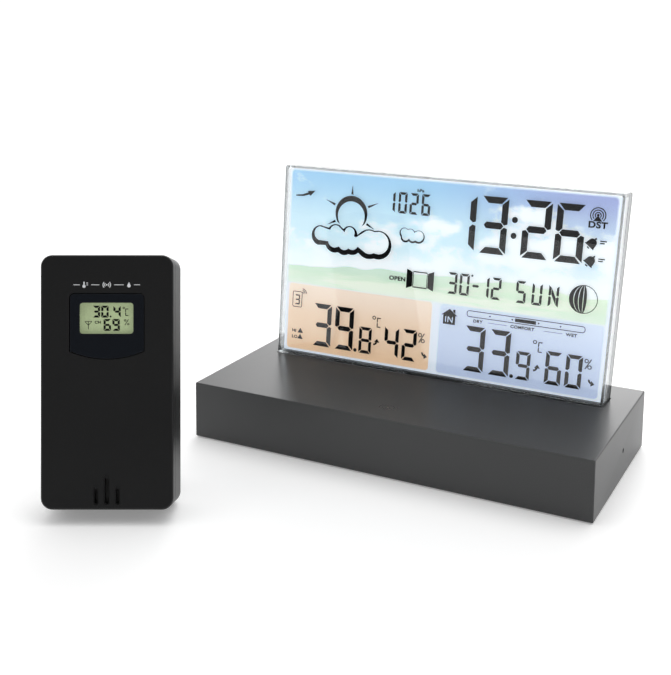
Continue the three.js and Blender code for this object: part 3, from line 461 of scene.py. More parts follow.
def let_lamps_through(tree, shader):
    """Mixes in a plain see-through shader for shadow and bounced light, so that what lies behind
    is lit evenly."""
    clear = node(tree, "BsdfTransparent").outputs[0]
    path = node(tree, "LightPath").outputs
    mixed = node(tree, "MixShader", {0: path["Is Shadow Ray"], 1: shader.outputs[0], 2: clear})
    mixed = node(tree, "MixShader", {0: path["Is Diffuse Ray"], 1: mixed.outputs[0], 2: clear})
    tree.links.new(mixed.outputs[0], tree.nodes["Material Output"].inputs["Surface"])


# Handling marks on anything polished: faint smears in the gloss, larger than grain.
smeared, given, gives = new_group(
    "smears", {"Roughness": 0.02, "Smear": 0.03, "Smear Scale": 60.0},
    {"Roughness": "Float", "Smears": "Float"},
)
at = node(smeared, "TexCoord").outputs["Object"]
stretched = node(smeared, "Mapping", {"Vector": at, "Rotation": (0.3, 0.5, 0.2), "Scale": (1.0, 0.5, 0.35)})
smears = node(smeared, "TexNoise", {
    "Vector": stretched.outputs["Vector"], "Scale": given["Smear Scale"], "Detail": 6.0, "Roughness": 0.7,
    "Distortion": 0.6,
})
smear_share = node(smeared, "MapRange", {
    "Value": smears.outputs["Fac"], "From Min": 0.52, "From Max": 0.75, "To Min": 0.0, "To Max": 1.0,
})
smear_gloss = node(smeared, "Math", {
    0: smear_share.outputs["Result"], 1: given["Smear"], 2: given["Roughness"],
}, operation="MULTIPLY_ADD")
smeared.links.new(smear_gloss.outputs["Value"], gives["Roughness"])
smeared.links.new(smear_share.outputs["Result"], gives["Smears"])


def clear_sheet(name, colour, roughness, smear, ior):
    made, tree, shader = bare_material(name, colour, roughness, {"Transmission Weight": 1.0, "IOR": ior})
    marks = node(tree, "Group", node_tree=smeared)
    marks.inputs["Roughness"].default_value = roughness
    marks.inputs["Smear"].default_value = smear
    tree.links.new(marks.outputs["Roughness"], shader.inputs["Roughness"])
    let_lamps_through(tree, shader)
    return made


clear_plastic = clear_sheet("clear_plastic", (0.86, 0.88, 0.89), 0.0, 0.006, 1.45)
smoky_plastic = clear_sheet("smoky_plastic", (0.42, 0.44, 0.45), 0.0, 0.006, 1.45)


def clear_tray(y, floor_y):
    """A clear plate with a rim round it. Its hollow is open on the side away from floor_y."""
    face_x, face_z = about(0, DISPLAY_HALF), (0, DISPLAY_HEIGHT)
    front_is_floor = floor_y - y[0] < y[1] - floor_y
    block = slab(face_x, y, face_z, corner=CLEAR_CORNER, edge=CLEAR_EDGE,
                 eased=(front_is_floor, not front_is_floor))
    past_open_side = (floor_y, y[1] + 1) if front_is_floor else (y[0] - 1, floor_y)
    well = slab(about(0, DISPLAY_HALF - DISPLAY_RIM), past_open_side,
                (DISPLAY_RIM, DISPLAY_HEIGHT - DISPLAY_RIM), corner=0.6, corner_steps=3)
    return boolean(block, "DIFFERENCE", [well])


front_tray = clear_tray((0, DISPLAY_PARTING - FIT / 2), CLEAR_PLATE)
piece("display_front_cover", front_tray, clear_plastic, "console", ["display_front_shell"],
      on_display, ease=0.1)

rear_tray = clear_tray((DISPLAY_PARTING + FIT / 2, DISPLAY_DEPTH), DISPLAY_DEPTH - CLEAR_PLATE)
tenons = together(*[
    slab(about(x, TENON_HALF), TENON_Y, (-3.9, 1), "Z", corner=0.5, corner_steps=2) for x in TENON_XS
])
rear_tray = boolean(rear_tray, "UNION", [tenons])
tenon_middle = sum(TENON_Y) / 2
tenon_bores = together(*[peg(1.4, (-6, 0.9), (x, tenon_middle)) for x in TENON_XS])
ribbon_slot = slab(about(0, RIBBON_HALF + 0.5), (9.4, 10.7), (-1, DISPLAY_RIM + 1))
rear_tray = boolean(rear_tray, "DIFFERENCE", [tenon_bores, ribbon_slot])
piece("display_rear_cover", rear_tray, smoky_plastic, "console", ["display_rear_shell"],
      on_display, ease=0.1)

# ---------------------------------------------------------------- printed colour film
# A film behind the liquid crystal, printed with a sky, clouds and green hills over two rounded
# panels, warm on the left and cool on the right. The backlight behind it makes it glow a little,
# except where it is seen mirrored in the base.

LAYOUT_LEFT = -DISPLAY_HALF - 1.95           # the artwork's own origin, measured on the display
LAYOUT_BOTTOM = -0.7
LAYOUT_SIZE = (1.016, 1, 1.012)
layout = on_display @ Matrix.Translation((LAYOUT_LEFT, 0, LAYOUT_BOTTOM))
layout = layout @ Matrix.Diagonal((*LAYOUT_SIZE, 1))


def paint(red, green, blue):
    """A colour from paint-chart values of 0 to 255, as the shaders want it."""
    shares = [value / 255 for value in (red, green, blue)]
    return tuple(((s + 0.055) / 1.055) ** 2.4 if s > 0.04 else s / 12.92 for s in shares)


# A rounded panel's share of a point: 1 inside, 0 outside, with a soft edge.
panel_share, given, gives = new_group(
    "rounded_panel",
    {"Point": (0, 0, 0), "Centre": (0, 0, 0), "Half Size": (1, 1, 1), "Corner": 1.0, "Softness": 0.2},
    {"Share": "Float"},
)
from_centre = node(panel_share, "VectorMath", {0: given["Point"], 1: given["Centre"]}, operation="SUBTRACT")
folded = node(panel_share, "VectorMath", {0: from_centre.outputs["Vector"]}, operation="ABSOLUTE")
past_edge = node(panel_share, "VectorMath", {0: folded.outputs["Vector"], 1: given["Half Size"]},
                 operation="SUBTRACT")
from_corner = node(panel_share, "VectorMath", {0: past_edge.outputs["Vector"], 1: given["Corner"]},
                   operation="ADD")
outside_corner = node(panel_share, "VectorMath", {0: from_corner.outputs["Vector"], 1: (0, 0, 0)},
                      operation="MAXIMUM")
corner_length = node(panel_share, "VectorMath", {0: outside_corner.outputs["Vector"]}, operation="LENGTH")
distance = node(panel_share, "Math", {0: corner_length.outputs["Value"], 1: given["Corner"]},
                operation="SUBTRACT")
scaled = node(panel_share, "Math", {0: distance.outputs["Value"], 1: given["Softness"]}, operation="DIVIDE")
share = node(panel_share, "MapRange", {
    "Value": scaled.outputs["Value"], "From Min": -1.0, "From Max": 0.0, "To Min": 1.0, "To Max": 0.0,
}, interpolation_type="SMOOTHSTEP")
panel_share.links.new(share.outputs["Result"], gives["Share"])

FILM_GLOW = 0.76
film_print, tree, shader = bare_material("colour_film", (0.7, 0.8, 0.9), 0.55,
                                         {"Emission Strength": FILM_GLOW})
at = node(tree, "TexCoord").outputs["Object"]
in_layout = node(tree, "Mapping", {
    "Vector": at, "Location": layout.to_translation() / MM, "Rotation": (-DISPLAY_LEAN, 0, 0),
    "Scale": [share / MM for share in LAYOUT_SIZE],
}, vector_type="TEXTURE")
split = node(tree, "SeparateXYZ", {"Vector": in_layout.outputs["Vector"]})
across, upward = split.outputs["X"], split.outputs["Z"]
flat_point = node(tree, "CombineXYZ", {"X": across, "Y": upward}).outputs["Vector"]


def stops(value, low, high, *colours):
    """A smooth run of colours over a value between low and high. Each colour has its place, 0 to 1."""
    run = node(tree, "MapRange", {"Value": value, "From Min": low, "From Max": high})
    ramp = node(tree, "ValToRGB", {"Fac": run.outputs["Result"]})
    ramp.color_ramp.interpolation = "EASE"
    while len(ramp.color_ramp.elements) < len(colours):
        ramp.color_ramp.elements.new(0.5)
    for element, (place, colour) in zip(ramp.color_ramp.elements, colours):
        element.position = place
        element.color = (*paint(*colour), 1)
    return ramp.outputs["Color"]


def mixed_colour(share, low, high):
    return node(tree, "Mix", {"Factor": share, "A": low, "B": high}, data_type="RGBA").outputs["Result"]


def shifted(value, share, by):
    """value plus a share of by, as a number for a gradient or a threshold."""
    return node(tree, "Math", {0: share, 1: by, 2: value}, operation="MULTIPLY_ADD").outputs["Value"]


def clouds_noise(scale, detail, stretch, offset):
    moved = node(tree, "Mapping", {"Vector": flat_point, "Location": offset, "Scale": stretch})
    return node(tree, "TexNoise", {
        "Vector": moved.outputs["Vector"], "Scale": scale, "Detail": detail, "Roughness": 0.55,
    }, noise_dimensions="2D").outputs["Fac"]


def over(value, low, high):
    return node(tree, "MapRange", {
        "Value": value, "From Min": low, "From Max": high, "To Min": 0.0, "To Max": 1.0,
    }, interpolation_type="SMOOTHSTEP").outputs["Result"]


HILL_FOOT = 34.8
HILL_TOP = 45.5
CLOUD_MIDDLE = 66.0
CUMULUS = (121, 70, 0)                       # the middle of the one bright heap of cloud
left_sky = stops(upward, HILL_TOP, 89, (0.0, (232, 244, 247)), (0.35, (200, 228, 240)),
                 (1.0, (150, 196, 228)))
right_sky = stops(upward, HILL_TOP, 89, (0.0, (236, 244, 247)), (0.35, (203, 224, 238)),
                  (1.0, (152, 163, 208)))
blended_sky = mixed_colour(over(across, 60, 150), left_sky, right_sky)
puffs = clouds_noise(0.045, 8.0, (1.0, 1.5, 1.0), (4.4, 2.1, 0))
above_middle = node(tree, "Math", {0: upward, 1: CLOUD_MIDDLE}, operation="SUBTRACT").outputs["Value"]
cloud_height = shifted(puffs, above_middle, -0.0085)
cloud_bank = shifted(cloud_height, over(across, 50, 120), 0.10)
from_cumulus = node(tree, "VectorMath", {0: flat_point, 1: CUMULUS}, operation="DISTANCE").outputs["Value"]
cloud_bank = shifted(cloud_bank, over(from_cumulus, 24, 5), 0.16)
clouded = mixed_colour(over(cloud_bank, 0.53, 0.72), blended_sky, (*paint(240, 246, 249), 1))

ridge_wave = clouds_noise(0.028, 2.0, (1.0, 0.1, 1.0), (9.0, 0, 0))
ridge = shifted(upward, ridge_wave, -9.0)
ridge = shifted(ridge, over(across, 70, 5), 2.0)
meadow_streaks = clouds_noise(0.05, 4.0, (0.55, 3.4, 1.0), (2.0, 5.0, 0))
meadow = mixed_colour(over(meadow_streaks, 0.38, 0.62), (*paint(230, 240, 218), 1),
                      (*paint(203, 225, 200), 1))
far_meadow = mixed_colour(over(across, 40, 150), (*paint(203, 225, 208), 1), (*paint(220, 236, 212), 1))
hills = mixed_colour(over(upward, HILL_FOOT + 3, HILL_TOP + 1), meadow, far_meadow)
landscape = mixed_colour(over(ridge, HILL_TOP - 4.3, HILL_TOP - 3.5), hills, clouded)
mist = over(upward, HILL_FOOT + 9, HILL_FOOT - 0.5)
thin_mist = node(tree, "Math", {0: mist, 1: 0.35}, operation="MULTIPLY").outputs["Value"]
landscape = mixed_colour(thin_mist, landscape, (*paint(238, 246, 238), 1))


def panel(x, z, corner, softness):
    made = node(tree, "Group", {"Point": flat_point}, node_tree=panel_share)
    made.inputs["Centre"].default_value = ((x[0] + x[1]) / 2, (z[0] + z[1]) / 2, 0)
    made.inputs["Half Size"].default_value = ((x[1] - x[0]) / 2, (z[1] - z[0]) / 2, 100)
    made.inputs["Corner"].default_value = corner
    made.inputs["Softness"].default_value = softness
    return made.outputs["Share"]


border = (*paint(226, 234, 245), 1)
picture = panel((3.3, 154.7), (HILL_FOOT - 5, 87.8), 2.4, 1.2)
lower_ground = mixed_colour(over(upward, HILL_FOOT - 0.4, HILL_FOOT + 0.2), border, landscape)
artwork = mixed_colour(picture, border, lower_ground)
warm = stops(upward, 2.8, HILL_FOOT, (0.0, (233, 196, 160)), (0.45, (238, 208, 180)),
             (1.0, (243, 222, 204)))
cool = stops(upward, 2.8, HILL_FOOT, (0.0, (186, 200, 228)), (0.5, (198, 211, 236)), (1.0, (209, 220, 240)))
artwork = mixed_colour(panel((4.4, 77.9), (2.8, HILL_FOOT), 2.0, 0.7), artwork, warm)
artwork = mixed_colour(panel((81.0, 154.1), (2.8, HILL_FOOT), 2.0, 0.7), artwork, cool)
ink_dots = node(tree, "TexVoronoi", {"Vector": flat_point, "Scale": 4.0, "Randomness": 0.0},
                voronoi_dimensions="2D").outputs["Distance"]
ink_share = node(tree, "MapRange", {
    "Value": ink_dots, "From Min": 0.1, "From Max": 0.6, "To Min": 0.985, "To Max": 1.015,
})
printed = node(tree, "VectorMath", {0: artwork, "Scale": ink_share.outputs["Result"]},
               operation="SCALE").outputs["Vector"]
tree.links.new(printed, shader.inputs["Base Color"])
tree.links.new(printed, shader.inputs["Emission Color"])
mirrored = node(tree, "LightPath").outputs["Glossy Depth"]
glow = node(tree, "MapRange", {"Value": mirrored, "From Min": 0.0, "From Max": 1.0, "To Min": FILM_GLOW,
                               "To Max": 0.0})
tree.links.new(glow.outputs["Result"], shader.inputs["Emission Strength"])
add_bump(tree, shader, ink_dots, 0.05, 0.00001)
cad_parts["colour_film"].data.materials.clear()
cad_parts["colour_film"].data.materials.append(film_print)

# ---------------------------------------------------------------- liquid crystal panel
# Two thin sheets of glass with the dark segments between them: the clock, the date, the forecast
# and two rows of readings. Segments are drawn flat on the artwork's layout and given a thickness.

PANEL_X = about(0, DISPLAY_HALF - DISPLAY_RIM - FIT)
PANEL_Z = (DISPLAY_RIM + FIT, DISPLAY_HEIGHT - DISPLAY_RIM - FIT)
SEGMENT_Y = 2.77
SEGMENT_THICKNESS = 0.06
THIN = 0.32                                  # line width of the small symbols
LETTER_STRETCH = 1.15

lcd_glass = clear_sheet("display_glass", (0.985, 0.99, 0.99), 0.0, 0.015, 1.04)
for name, y in (("lcd_front_glass", (1.8, 2.7)), ("lcd_rear_glass", (2.9, 3.8))):
    sheet = slab(PANEL_X, y, PANEL_Z, corner=0.4, edge=0.1, corner_steps=2, edge_steps=1)
    piece(name, sheet, lcd_glass, "console", ["display_lcd_panel"], on_display)


def flat(*points):
    """One flat face in the XZ plane from its outline."""
    bm = bmesh.new()
    bm.faces.new([bm.verts.new((x, 0, z)) for x, z in points])
    return bm


def moved(bm, x, z, turn=0, size=1.0):
    """Turns a flat shape by degrees, scales it and moves it across the layout."""
    place = Matrix.Translation((x, 0, z)) @ Matrix.Rotation(radians(-turn), 4, "Y") @ Matrix.Scale(size, 4)
    return placed(bm, place)


def line(x0, z0, x1, z1, width=THIN):
    ahead = (Vector((x1, z1)) - Vector((x0, z0))).normalized() * width / 2
    return flat((x0 - ahead.y, z0 + ahead.x), (x0 + ahead.y, z0 - ahead.x),
                (x1 + ahead.y, z1 - ahead.x), (x1 - ahead.y, z1 + ahead.x))


def box_line(x0, z0, x1, z1, corner):
    """The outline of a rounded box, as a thin band of even width."""
    band = bmesh.new()
    loops = []
    for inward in (0, THIN):
        sheet = slab((x0 + inward, x1 - inward), (0, 1), (z0 + inward, z1 - inward),
                     corner=max(0.05, corner - inward))
        loop = [face for face in sheet.faces if face.normal.y < -0.5][0]
        ends = [band.verts.new(v.co) for v in loop.verts]
        loops += [band.edges.new((a, b)) for a, b in zip(ends, ends[1:] + ends[:1])]
        sheet.free()
    bmesh.ops.bridge_loops(band, edges=loops)
    return band


def bar_segments(w, h, t):
    """The seven bars of a digit, mitred to each other, and the slanted bar of an N. They are
    outlines from the lower left corner, for a width, a height and a bar thickness."""
    s, m, gap = t / 2, h / 2, t * 0.11
    q = t - gap                                  # where a bar's inner corner stops short of the next bar

    def upper(x, out):
        return [(x, h - 2 * gap), (x + out * t, h - t - gap), (x + out * t, m + s + gap),
                (x + out * s, m + gap * 1.4), (x, m + gap * 3)]

    def lower(x, out):
        return [(point_x, h - point_z) for point_x, point_z in upper(x, out)]

    return {
        "a": [(2 * gap, h), (w - 2 * gap, h), (w - t - gap, h - t), (t + gap, h - t)],
        "b": upper(w, -1), "c": lower(w, -1),
        "d": [(2 * gap, 0), (w - 2 * gap, 0), (w - t - gap, t), (t + gap, t)],
        "e": lower(0, 1), "f": upper(0, 1),
        "g": [(s + gap, m), (q + gap, m + s), (w - q - gap, m + s), (w - s - gap, m), (w - q - gap, m - s),
              (q + gap, m - s)],
        "n": [(t + gap, h - t - gap), (t + gap, h - t - 3 * t * 0.9), (w - t - gap, t + gap),
              (w - t - gap, t + 3 * t * 0.9)],
    }


LIT = {
    "0": "abcdef", "1": "bc", "2": "abged", "3": "abgcd", "4": "fgbc", "5": "afgcd", "6": "afgecd",
    "8": "abcdefg", "9": "abcdfg", "S": "afgcd", "U": "bcdef", "N": "bcefn", "C": "adef", "-": "g",
}


def digit(symbol, x, z, w, h, t):
    bars = bar_segments(w, h, t)
    return [moved(flat(*bars[bar]), x, z) for bar in LIT[symbol]]


def digits(symbols, xs, z, w, h, t):
    return [bar for symbol, x in zip(symbols, xs) for bar in digit(symbol, x, z, w, h, t)]


def words(text, x, z, height):
    """A short printed word, from its left end. Height is that of its capitals."""
    letters = bpy.data.curves.new("letters", "FONT")
    letters.body = text
    letters.size = height / 0.7
    letters.offset = 0.04 * letters.size
    letters.space_character = 1.1
    made = bpy.data.objects.new("letters", letters)
    scene.collection.objects.link(made)
    bpy.context.view_layer.update()
    shown = made.evaluated_get(bpy.context.evaluated_depsgraph_get())
    bm = bmesh.new()
    bm.from_mesh(shown.to_mesh())
    shown.to_mesh_clear()
    bpy.data.objects.remove(made)
    bpy.data.curves.remove(letters)
    bmesh.ops.remove_doubles(bm, verts=bm.verts, dist=1e-4)
    upright = Matrix.Translation((x, 0, z)) @ Matrix.Rotation(pi / 2, 4, "X")
    return placed(bm, upright @ Matrix.Diagonal((LETTER_STRETCH, 1, 1, 1)))


def strip(outer, inner, closed=False):
    """A band between two runs of as many points."""
    bm = bmesh.new()
    rows = [[bm.verts.new((x, 0, z)) for x, z in run] for run in (outer, inner)]
    count = len(outer)
    for i in range(count if closed else count - 1):
        j = (i + 1) % count
        bm.faces.new((rows[0][i], rows[0][j], rows[1][j], rows[1][i]))
    return bm


def round_points(x, z, radius, start, end, count=36):
    angles = [radians(start + (end - start) * i / (count - 1)) for i in range(count)]
    return [(x + radius * cos(a), z + radius * sin(a)) for a in angles]


def sun(x, z):
    """A ring that is thick above and open below, with five pointed rays."""
    made = [strip(round_points(x, z, 8.0, -32, 212), round_points(x, z - 1.25, 6.75, -38, 218))]
    for angle, base, tip in ((90, 8.6, 12.6), (158, 9.0, 14.0), (24, 9.0, 14.2), (207, 8.8, 13.2),
                             (-27, 8.8, 13.2)):
        made.append(moved(flat((base, 0.55), (base, -0.55), (tip, -0.05), (tip, 0.05)), x, z, angle))
    return made


def cloud(x, z, lobes, line_width, weight):
    """The outline of several round lobes run together, heavier along its underside."""

    def edge(angle, thinner, lift):
        ahead = Vector((cos(angle), sin(angle)))
        reach = 0.0
        for lobe_x, lobe_z, radius in lobes:
            middle = Vector((lobe_x, lobe_z + lift))
            along = middle.dot(ahead)
            root = (radius - thinner) ** 2 - (middle.length_squared - along ** 2)
            if root > 0:
                reach = max(reach, along + root ** 0.5)
        return (x + reach * ahead.x, z + reach * ahead.y)

    angles = [2 * pi * i / 150 for i in range(150)]
    return [strip([edge(a, 0, 0) for a in angles], [edge(a, line_width + weight, weight) for a in angles],
                  closed=True)]


def curved_arrow(x, z, size, turn=0):
    """A short arrow that bends upwards, with a solid head."""
    bend = strip(round_points(0, 1, 1.15, -90, -15, 8), round_points(0, 1, 0.65, -90, -15, 8))
    head = flat((0.2, 0.75), (1.75, 0.75), (1.0, 1.75))
    return [moved(shape, x, z, turn, size) for shape in (bend, head)]


def percent(x, z, h):
    small = h * 0.21
    return [moved(ring(small, small - THIN * 1.2, 16), x + small, z + h - small),
            moved(ring(small, small - THIN * 1.2, 16), x + h * 0.75 - small, z + small),
            line(x + h * 0.12, z, x + h * 0.66, z + h, THIN * 1.4)]


def degrees_c(x, z, h):
    small = h * 0.17
    return [moved(ring(small, small - THIN * 1.2, 16), x + small, z + h - small)] + \
        digits("C", [x + h * 0.45], z, h * 0.42, h * 0.88, THIN * 1.5)


def bell(x, z):
    """An alarm bell that hangs tilted to the left, with two short strokes for its sound."""
    shapes = [
        flat(*round_points(0, 0, 1.7, 0, 180, 12), (-1.9, -1.4), (-2.3, -1.9), (2.3, -1.9), (1.9, -1.4)),
        flat((-0.7, -2.15), (0.7, -2.15), (0.45, -2.7), (-0.45, -2.7)),
        moved(dot(0.4, 10), 0, 2.05),
    ]
    made = [moved(shape, x, z, -38, 1.08) for shape in shapes]
    sounds = [line(x + 3.1, z + up, x + 5.8 - short, z + up, 0.5) for up, short in ((1.0, 0), (0.1, 0.8))]
    return made + sounds


def moon(x, z, radius):
    """A thin ring whose dark half is drawn in four slices."""
    arc = [radians(96 + 168 * i / 24) for i in range(25)]

    def edge(share):
        return [(radius * 0.97 * share * cos(a), radius * 0.97 * sin(a)) for a in arc]

    slices = [moved(strip(edge(outer), edge(inner)), x, z)
              for outer, inner in ((1.0, 0.72), (0.66, 0.38), (0.32, 0.04), (-0.02, -0.24))]
    return slices + [moved(ring(radius, radius - THIN, 48), x, z)]


def radio_tower(x, z):
    rings = [moved(ring(r, r - 0.42, 32, start=-42, turn=264), x, z) for r in (3.3, 2.35, 1.4)]
    return rings + [flat((x - 1.9, z - 2.4), (x + 1.9, z - 2.4), (x, z - 0.1)),
                    moved(dot(0.55, 16), x, z + 0.1)]


def window_icon(x0, x1, z0, z1):
    """An open casement: a frame with two dark leaves folded towards the viewer."""
    leaf, slope = (x1 - x0) * 0.22, (z1 - z0) * 0.13
    sides = [flat((x, z0), (x + s * leaf, z0 + slope), (x + s * leaf, z1 - slope), (x, z1))
             for x, s in ((x0, 1), (x1, -1))]
    inner = (x0 + leaf + 0.35, x1 - leaf - 0.35)
    bars = [line(inner[0], z, inner[1], z, 0.55) for z in (z0 + slope * 0.8, z1 - slope * 0.8)]
    posts = [line(x, z0 + slope * 0.8, x, z1 - slope * 0.8, 0.3) for x in inner]
    return sides + bars + posts


def house_icon(x, z, w, h):
    """A dark house with the word for indoors cut out of it."""
    roof = h * 0.42
    outline = flat((x + w * 0.12, z), (x + w * 0.88, z), (x + w * 0.88, z + h - roof),
                   (x + w, z + h - roof), (x + w * 0.5, z + h), (x, z + h - roof),
                   (x + w * 0.12, z + h - roof))
    chimney = flat((x + w * 0.72, z + h * 0.84), (x + w * 0.86, z + h * 0.72), (x + w * 0.86, z + h * 0.98),
                   (x + w * 0.72, z + h * 0.98))
    body = thickened(outline, SEGMENT_THICKNESS)
    low, high, left, right = z + h * 0.13, z + h * 0.5, x + w * 0.43, x + w * 0.70
    strokes = [(x + w * 0.28, low, x + w * 0.28, high), (left, low, left, high), (right, low, right, high),
               (left, high, right, low)]
    cutters = [placed(thickened(line(*stroke, 0.5), 1.0), Matrix.Translation((0, -0.5, 0)))
               for stroke in strokes]
    return boolean(body, "DIFFERENCE", cutters), [chimney]


def channel_icon(x, z, w, h):
    """A radio channel: its number in a rounded box, with waves at the upper right corner."""
    waves = [moved(ring(r, r - 0.35, 16, start=5, turn=80), x + w - 0.2, z + h - 0.9)
             for r in (0.9, 1.7, 2.5)]
    number = digits("3", [x + w * 0.24], z + h * 0.17, w * 0.52, h * 0.62, 0.6)
    return [box_line(x, z, x + w, z + h, 0.8), *waves] + number


BIG = dict(z=58.9, w=12.1, h=24.3, t=2.8)
SMALL_ROW = dict(z=39.5, w=4.4, h=9.5, t=1.08)
HIGH = dict(z=6.5, w=9.5, h=20.1, t=2.2)
LOW = dict(z=6.5, w=6.3, h=12.3, t=1.45)
MIDDLE = dict(z=6.5, w=7.0, h=14.3, t=1.65)

shapes = digits("1326", (82.9, 96.9, 115.6, 129.7), **BIG)
shapes += [moved(dot(1.3), 112.1, z) for z in (74.3, 67.6)]
shapes += digits("1026", (52.9, 58.6, 64.0, 69.6), z=72.2, w=4.1, h=9.3, t=1.1)
shapes += digits("30-12", (84.3, 89.9, 95.0, 98.9, 104.3), **SMALL_ROW)
shapes += digits("SUN", (115.3, 122.3, 129.4), **SMALL_ROW)
shapes += [moved(dot(0.5, 12), 95.4, 48.6), words("hPa", 67.2, 82.3, 1.25)]
shapes += sun(35.8, 69.8)
large_lobes = ((8.9, -0.7, 6.7), (13.4, -0.6, 6.5), (-8.6, -1.6, 4.8), (-3.6, -2.6, 4.4), (0.4, -1.9, 4.6),
               (-15.8, 0.8, 4.7), (-8.1, 2.2, 4.5), (-1.1, 2.6, 3.9))
small_lobes = ((-3.2, 0.9, 2.4), (-0.4, 0.6, 2.5), (3.6, -0.2, 2.9), (-2.6, -0.9, 2.3), (0.8, -0.9, 2.3))
shapes += cloud(36.6, 57.6, large_lobes, 0.5, 0.9)
shapes += cloud(65.6, 62.8, small_lobes, 0.25, 0.3)
trend_arrow = flat((0, 0), (3.6, 0.5), (6.4, 1.55), (6.0, 2.2), (10, 2.6), (7.4, 0.0), (7.0, 0.6),
                   (3.8, -0.35), (0, -0.5))
shapes += [moved(trend_arrow, 7.0, 75.9)]
shapes += radio_tower(146.6, 79.5) + [words("DST", 142.9, 74.4, 2.5)]
shapes += bell(145.4, 68.2) + bell(145.4, 60.9)
shapes += [words("OPEN", 56.4, 42.3, 1.75)] + window_icon(64.8, 77.8, 39.4, 48.1)
shapes += moon(144.1, 44.6, 6.0)
shapes += channel_icon(7.6, 23.4, 5.1, 7.6)
for word, z in (("HI", 11.4), ("LO", 8.5)):
    shapes += [words(word, 8.0, z, 1.35), flat((11.0, z - 0.1), (13.9, z - 0.1), (12.45, z + 2.3))]
shapes += digits("39", (19.1, 30.6), **HIGH) + [moved(dot(0.85, 16), 41.5, 7.4)]
shapes += digits("8", (43.2,), **LOW)
shapes += degrees_c(49.4, 19.5, 5.2) + curved_arrow(50.6, 11.3, 1.7)
shapes += digits("42", (56.0, 64.7), **MIDDLE)
shapes += percent(72.3, 15.6, 4.4) + curved_arrow(74.6, 11.4, 1.6, turn=-95)
shapes += digits("33", (94.0, 105.5), **HIGH) + [moved(dot(0.85, 16), 116.5, 7.4)]
shapes += digits("9", (118.0,), **LOW)
shapes += degrees_c(124.7, 19.5, 5.2) + curved_arrow(125.8, 11.3, 1.7)
shapes += digits("60", (130.9, 139.6), **MIDDLE)
shapes += percent(147.2, 15.6, 4.4) + curved_arrow(149.7, 11.4, 1.6, turn=-95)
shapes += [box_line(94.2, 30.5, 146.3, 33.4, 1.3)]
shapes += [flat((116, 31.2), (125.2, 31.2), (125.2, 32.7), (116, 32.7))]
shapes += [moved(dot(0.35, 12), x, 31.95) for x in (104.8, 114.8, 126.4, 135.8)]
shapes += [words("DRY", 97.4, 28.4, 1.25), words("COMFORT", 114.2, 28.4, 1.25),
           words("WET", 138.4, 28.4, 1.25)]
shapes += [line(104.2, 29.0, 112.6, 29.0, 0.16), line(128.8, 29.0, 136.8, 29.0, 0.16)]
house, chimney = house_icon(82.6, 25.9, 7.4, 6.9)
shapes += chimney

segment_ink = plastic("segment_ink", (0.008, 0.008, 0.009), 0.5, spread=0.05, rub=1.0,
                      extra={"Specular IOR Level": 0.1})
segments = together(thickened(together(*shapes), SEGMENT_THICKNESS), house)
piece("lcd_segments", segments, segment_ink, "console",
      place=layout @ Matrix.Translation((0, SEGMENT_Y, 0)))

# ---------------------------------------------------------------- bottom cover and its door
# A matte black plate with a battery tray, sunk seats for feet and screws and sound slots under the
# buzzer. The battery door slides out of it and has finger grooves and an arrow.

TRAY_X = (-81.5, -31)
TRAY_Y = (-17.3, 17.3)
TRAY_CEILING = 14.6
TRAY_WALL = 1.5
FOOT_RADIUS = 5
FOOT_HEIGHT = 1.4
SCREW_HEAD = 2.8
HEAD_Z = (0.7, 1.5)
cover_low, cover_high = (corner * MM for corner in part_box("bottom_cover"))
COVER_Z = (cover_low.z, cover_low.z + 2)


def grown(span, by):
    return (span[0] - by, span[1] + by)


matte_black = plastic("matte_black_plastic", (0.026, 0.026, 0.027), 0.48, grain_scale=1500.0,
                      grain_depth=0.00003)
plate = slab((cover_low.x, cover_high.x), (cover_low.y, cover_high.y), COVER_Z, "Z", 0.8, 0.25,
             eased=(True, False))
tray = slab(grown(TRAY_X, TRAY_WALL), grown(TRAY_Y, TRAY_WALL),
            (COVER_Z[1] - 0.5, TRAY_CEILING + TRAY_WALL), "Z", 1.5)
well = slab(TRAY_X, TRAY_Y, (-1, TRAY_CEILING))
foot_seats = [peg(FOOT_RADIUS + FIT, (-1, FOOT_HEIGHT + FIT), place, sides=48) for place in FOOT_PLACES]
head_seats = [peg(SCREW_HEAD + FIT, (-1, HEAD_Z[1] + FIT), place, sides=40) for place in SCREW_PLACES]
cover_bores = [peg(1.4, (-2, 4), place, sides=24) for place in SCREW_PLACES]
sound_slots = [slab(about(x, 0.5), about(-24, 4.5 - abs(x) / 3), (-1, 4), "Z", 0.45)
               for x in (-6, -3, 0, 3, 6)]
cover = boolean(boolean(plate, "UNION", [tray]), "DIFFERENCE", [
    well, together(*foot_seats, *head_seats), together(*cover_bores), together(*sound_slots),
])
piece("bottom_plate", cover, matte_black, "console", ["bottom_cover"], ease=0.12)

door = slab(grown(TRAY_X, -FIT), grown(TRAY_Y, -FIT), (0.5, 2.3), "Z", 0.8, 0.2, eased=(True, False))
grooves = together(*[slab(about(x + 0.5, 0.5), (-8, 8), (-1, 0.9), "Z", 0.4) for x in (-38, -36, -34)])
arrow = placed(thickened(flat((0, 2.4), (0, -2.4), (3.6, 0)), 1.3), Matrix.Rotation(pi / 2, 4, "X"))
arrow = placed(arrow, Matrix.Translation((-44.5, 0, -0.5)))
piece("battery_door", boolean(door, "DIFFERENCE", [grooves, arrow]), matte_black, "console_battery_door",
      ["console_battery_door"], ease=0.1)

# ---------------------------------------------------------------- feet and screws
# Four dished rubber feet, and steel screws with a cross recess under the base and in the clamps.


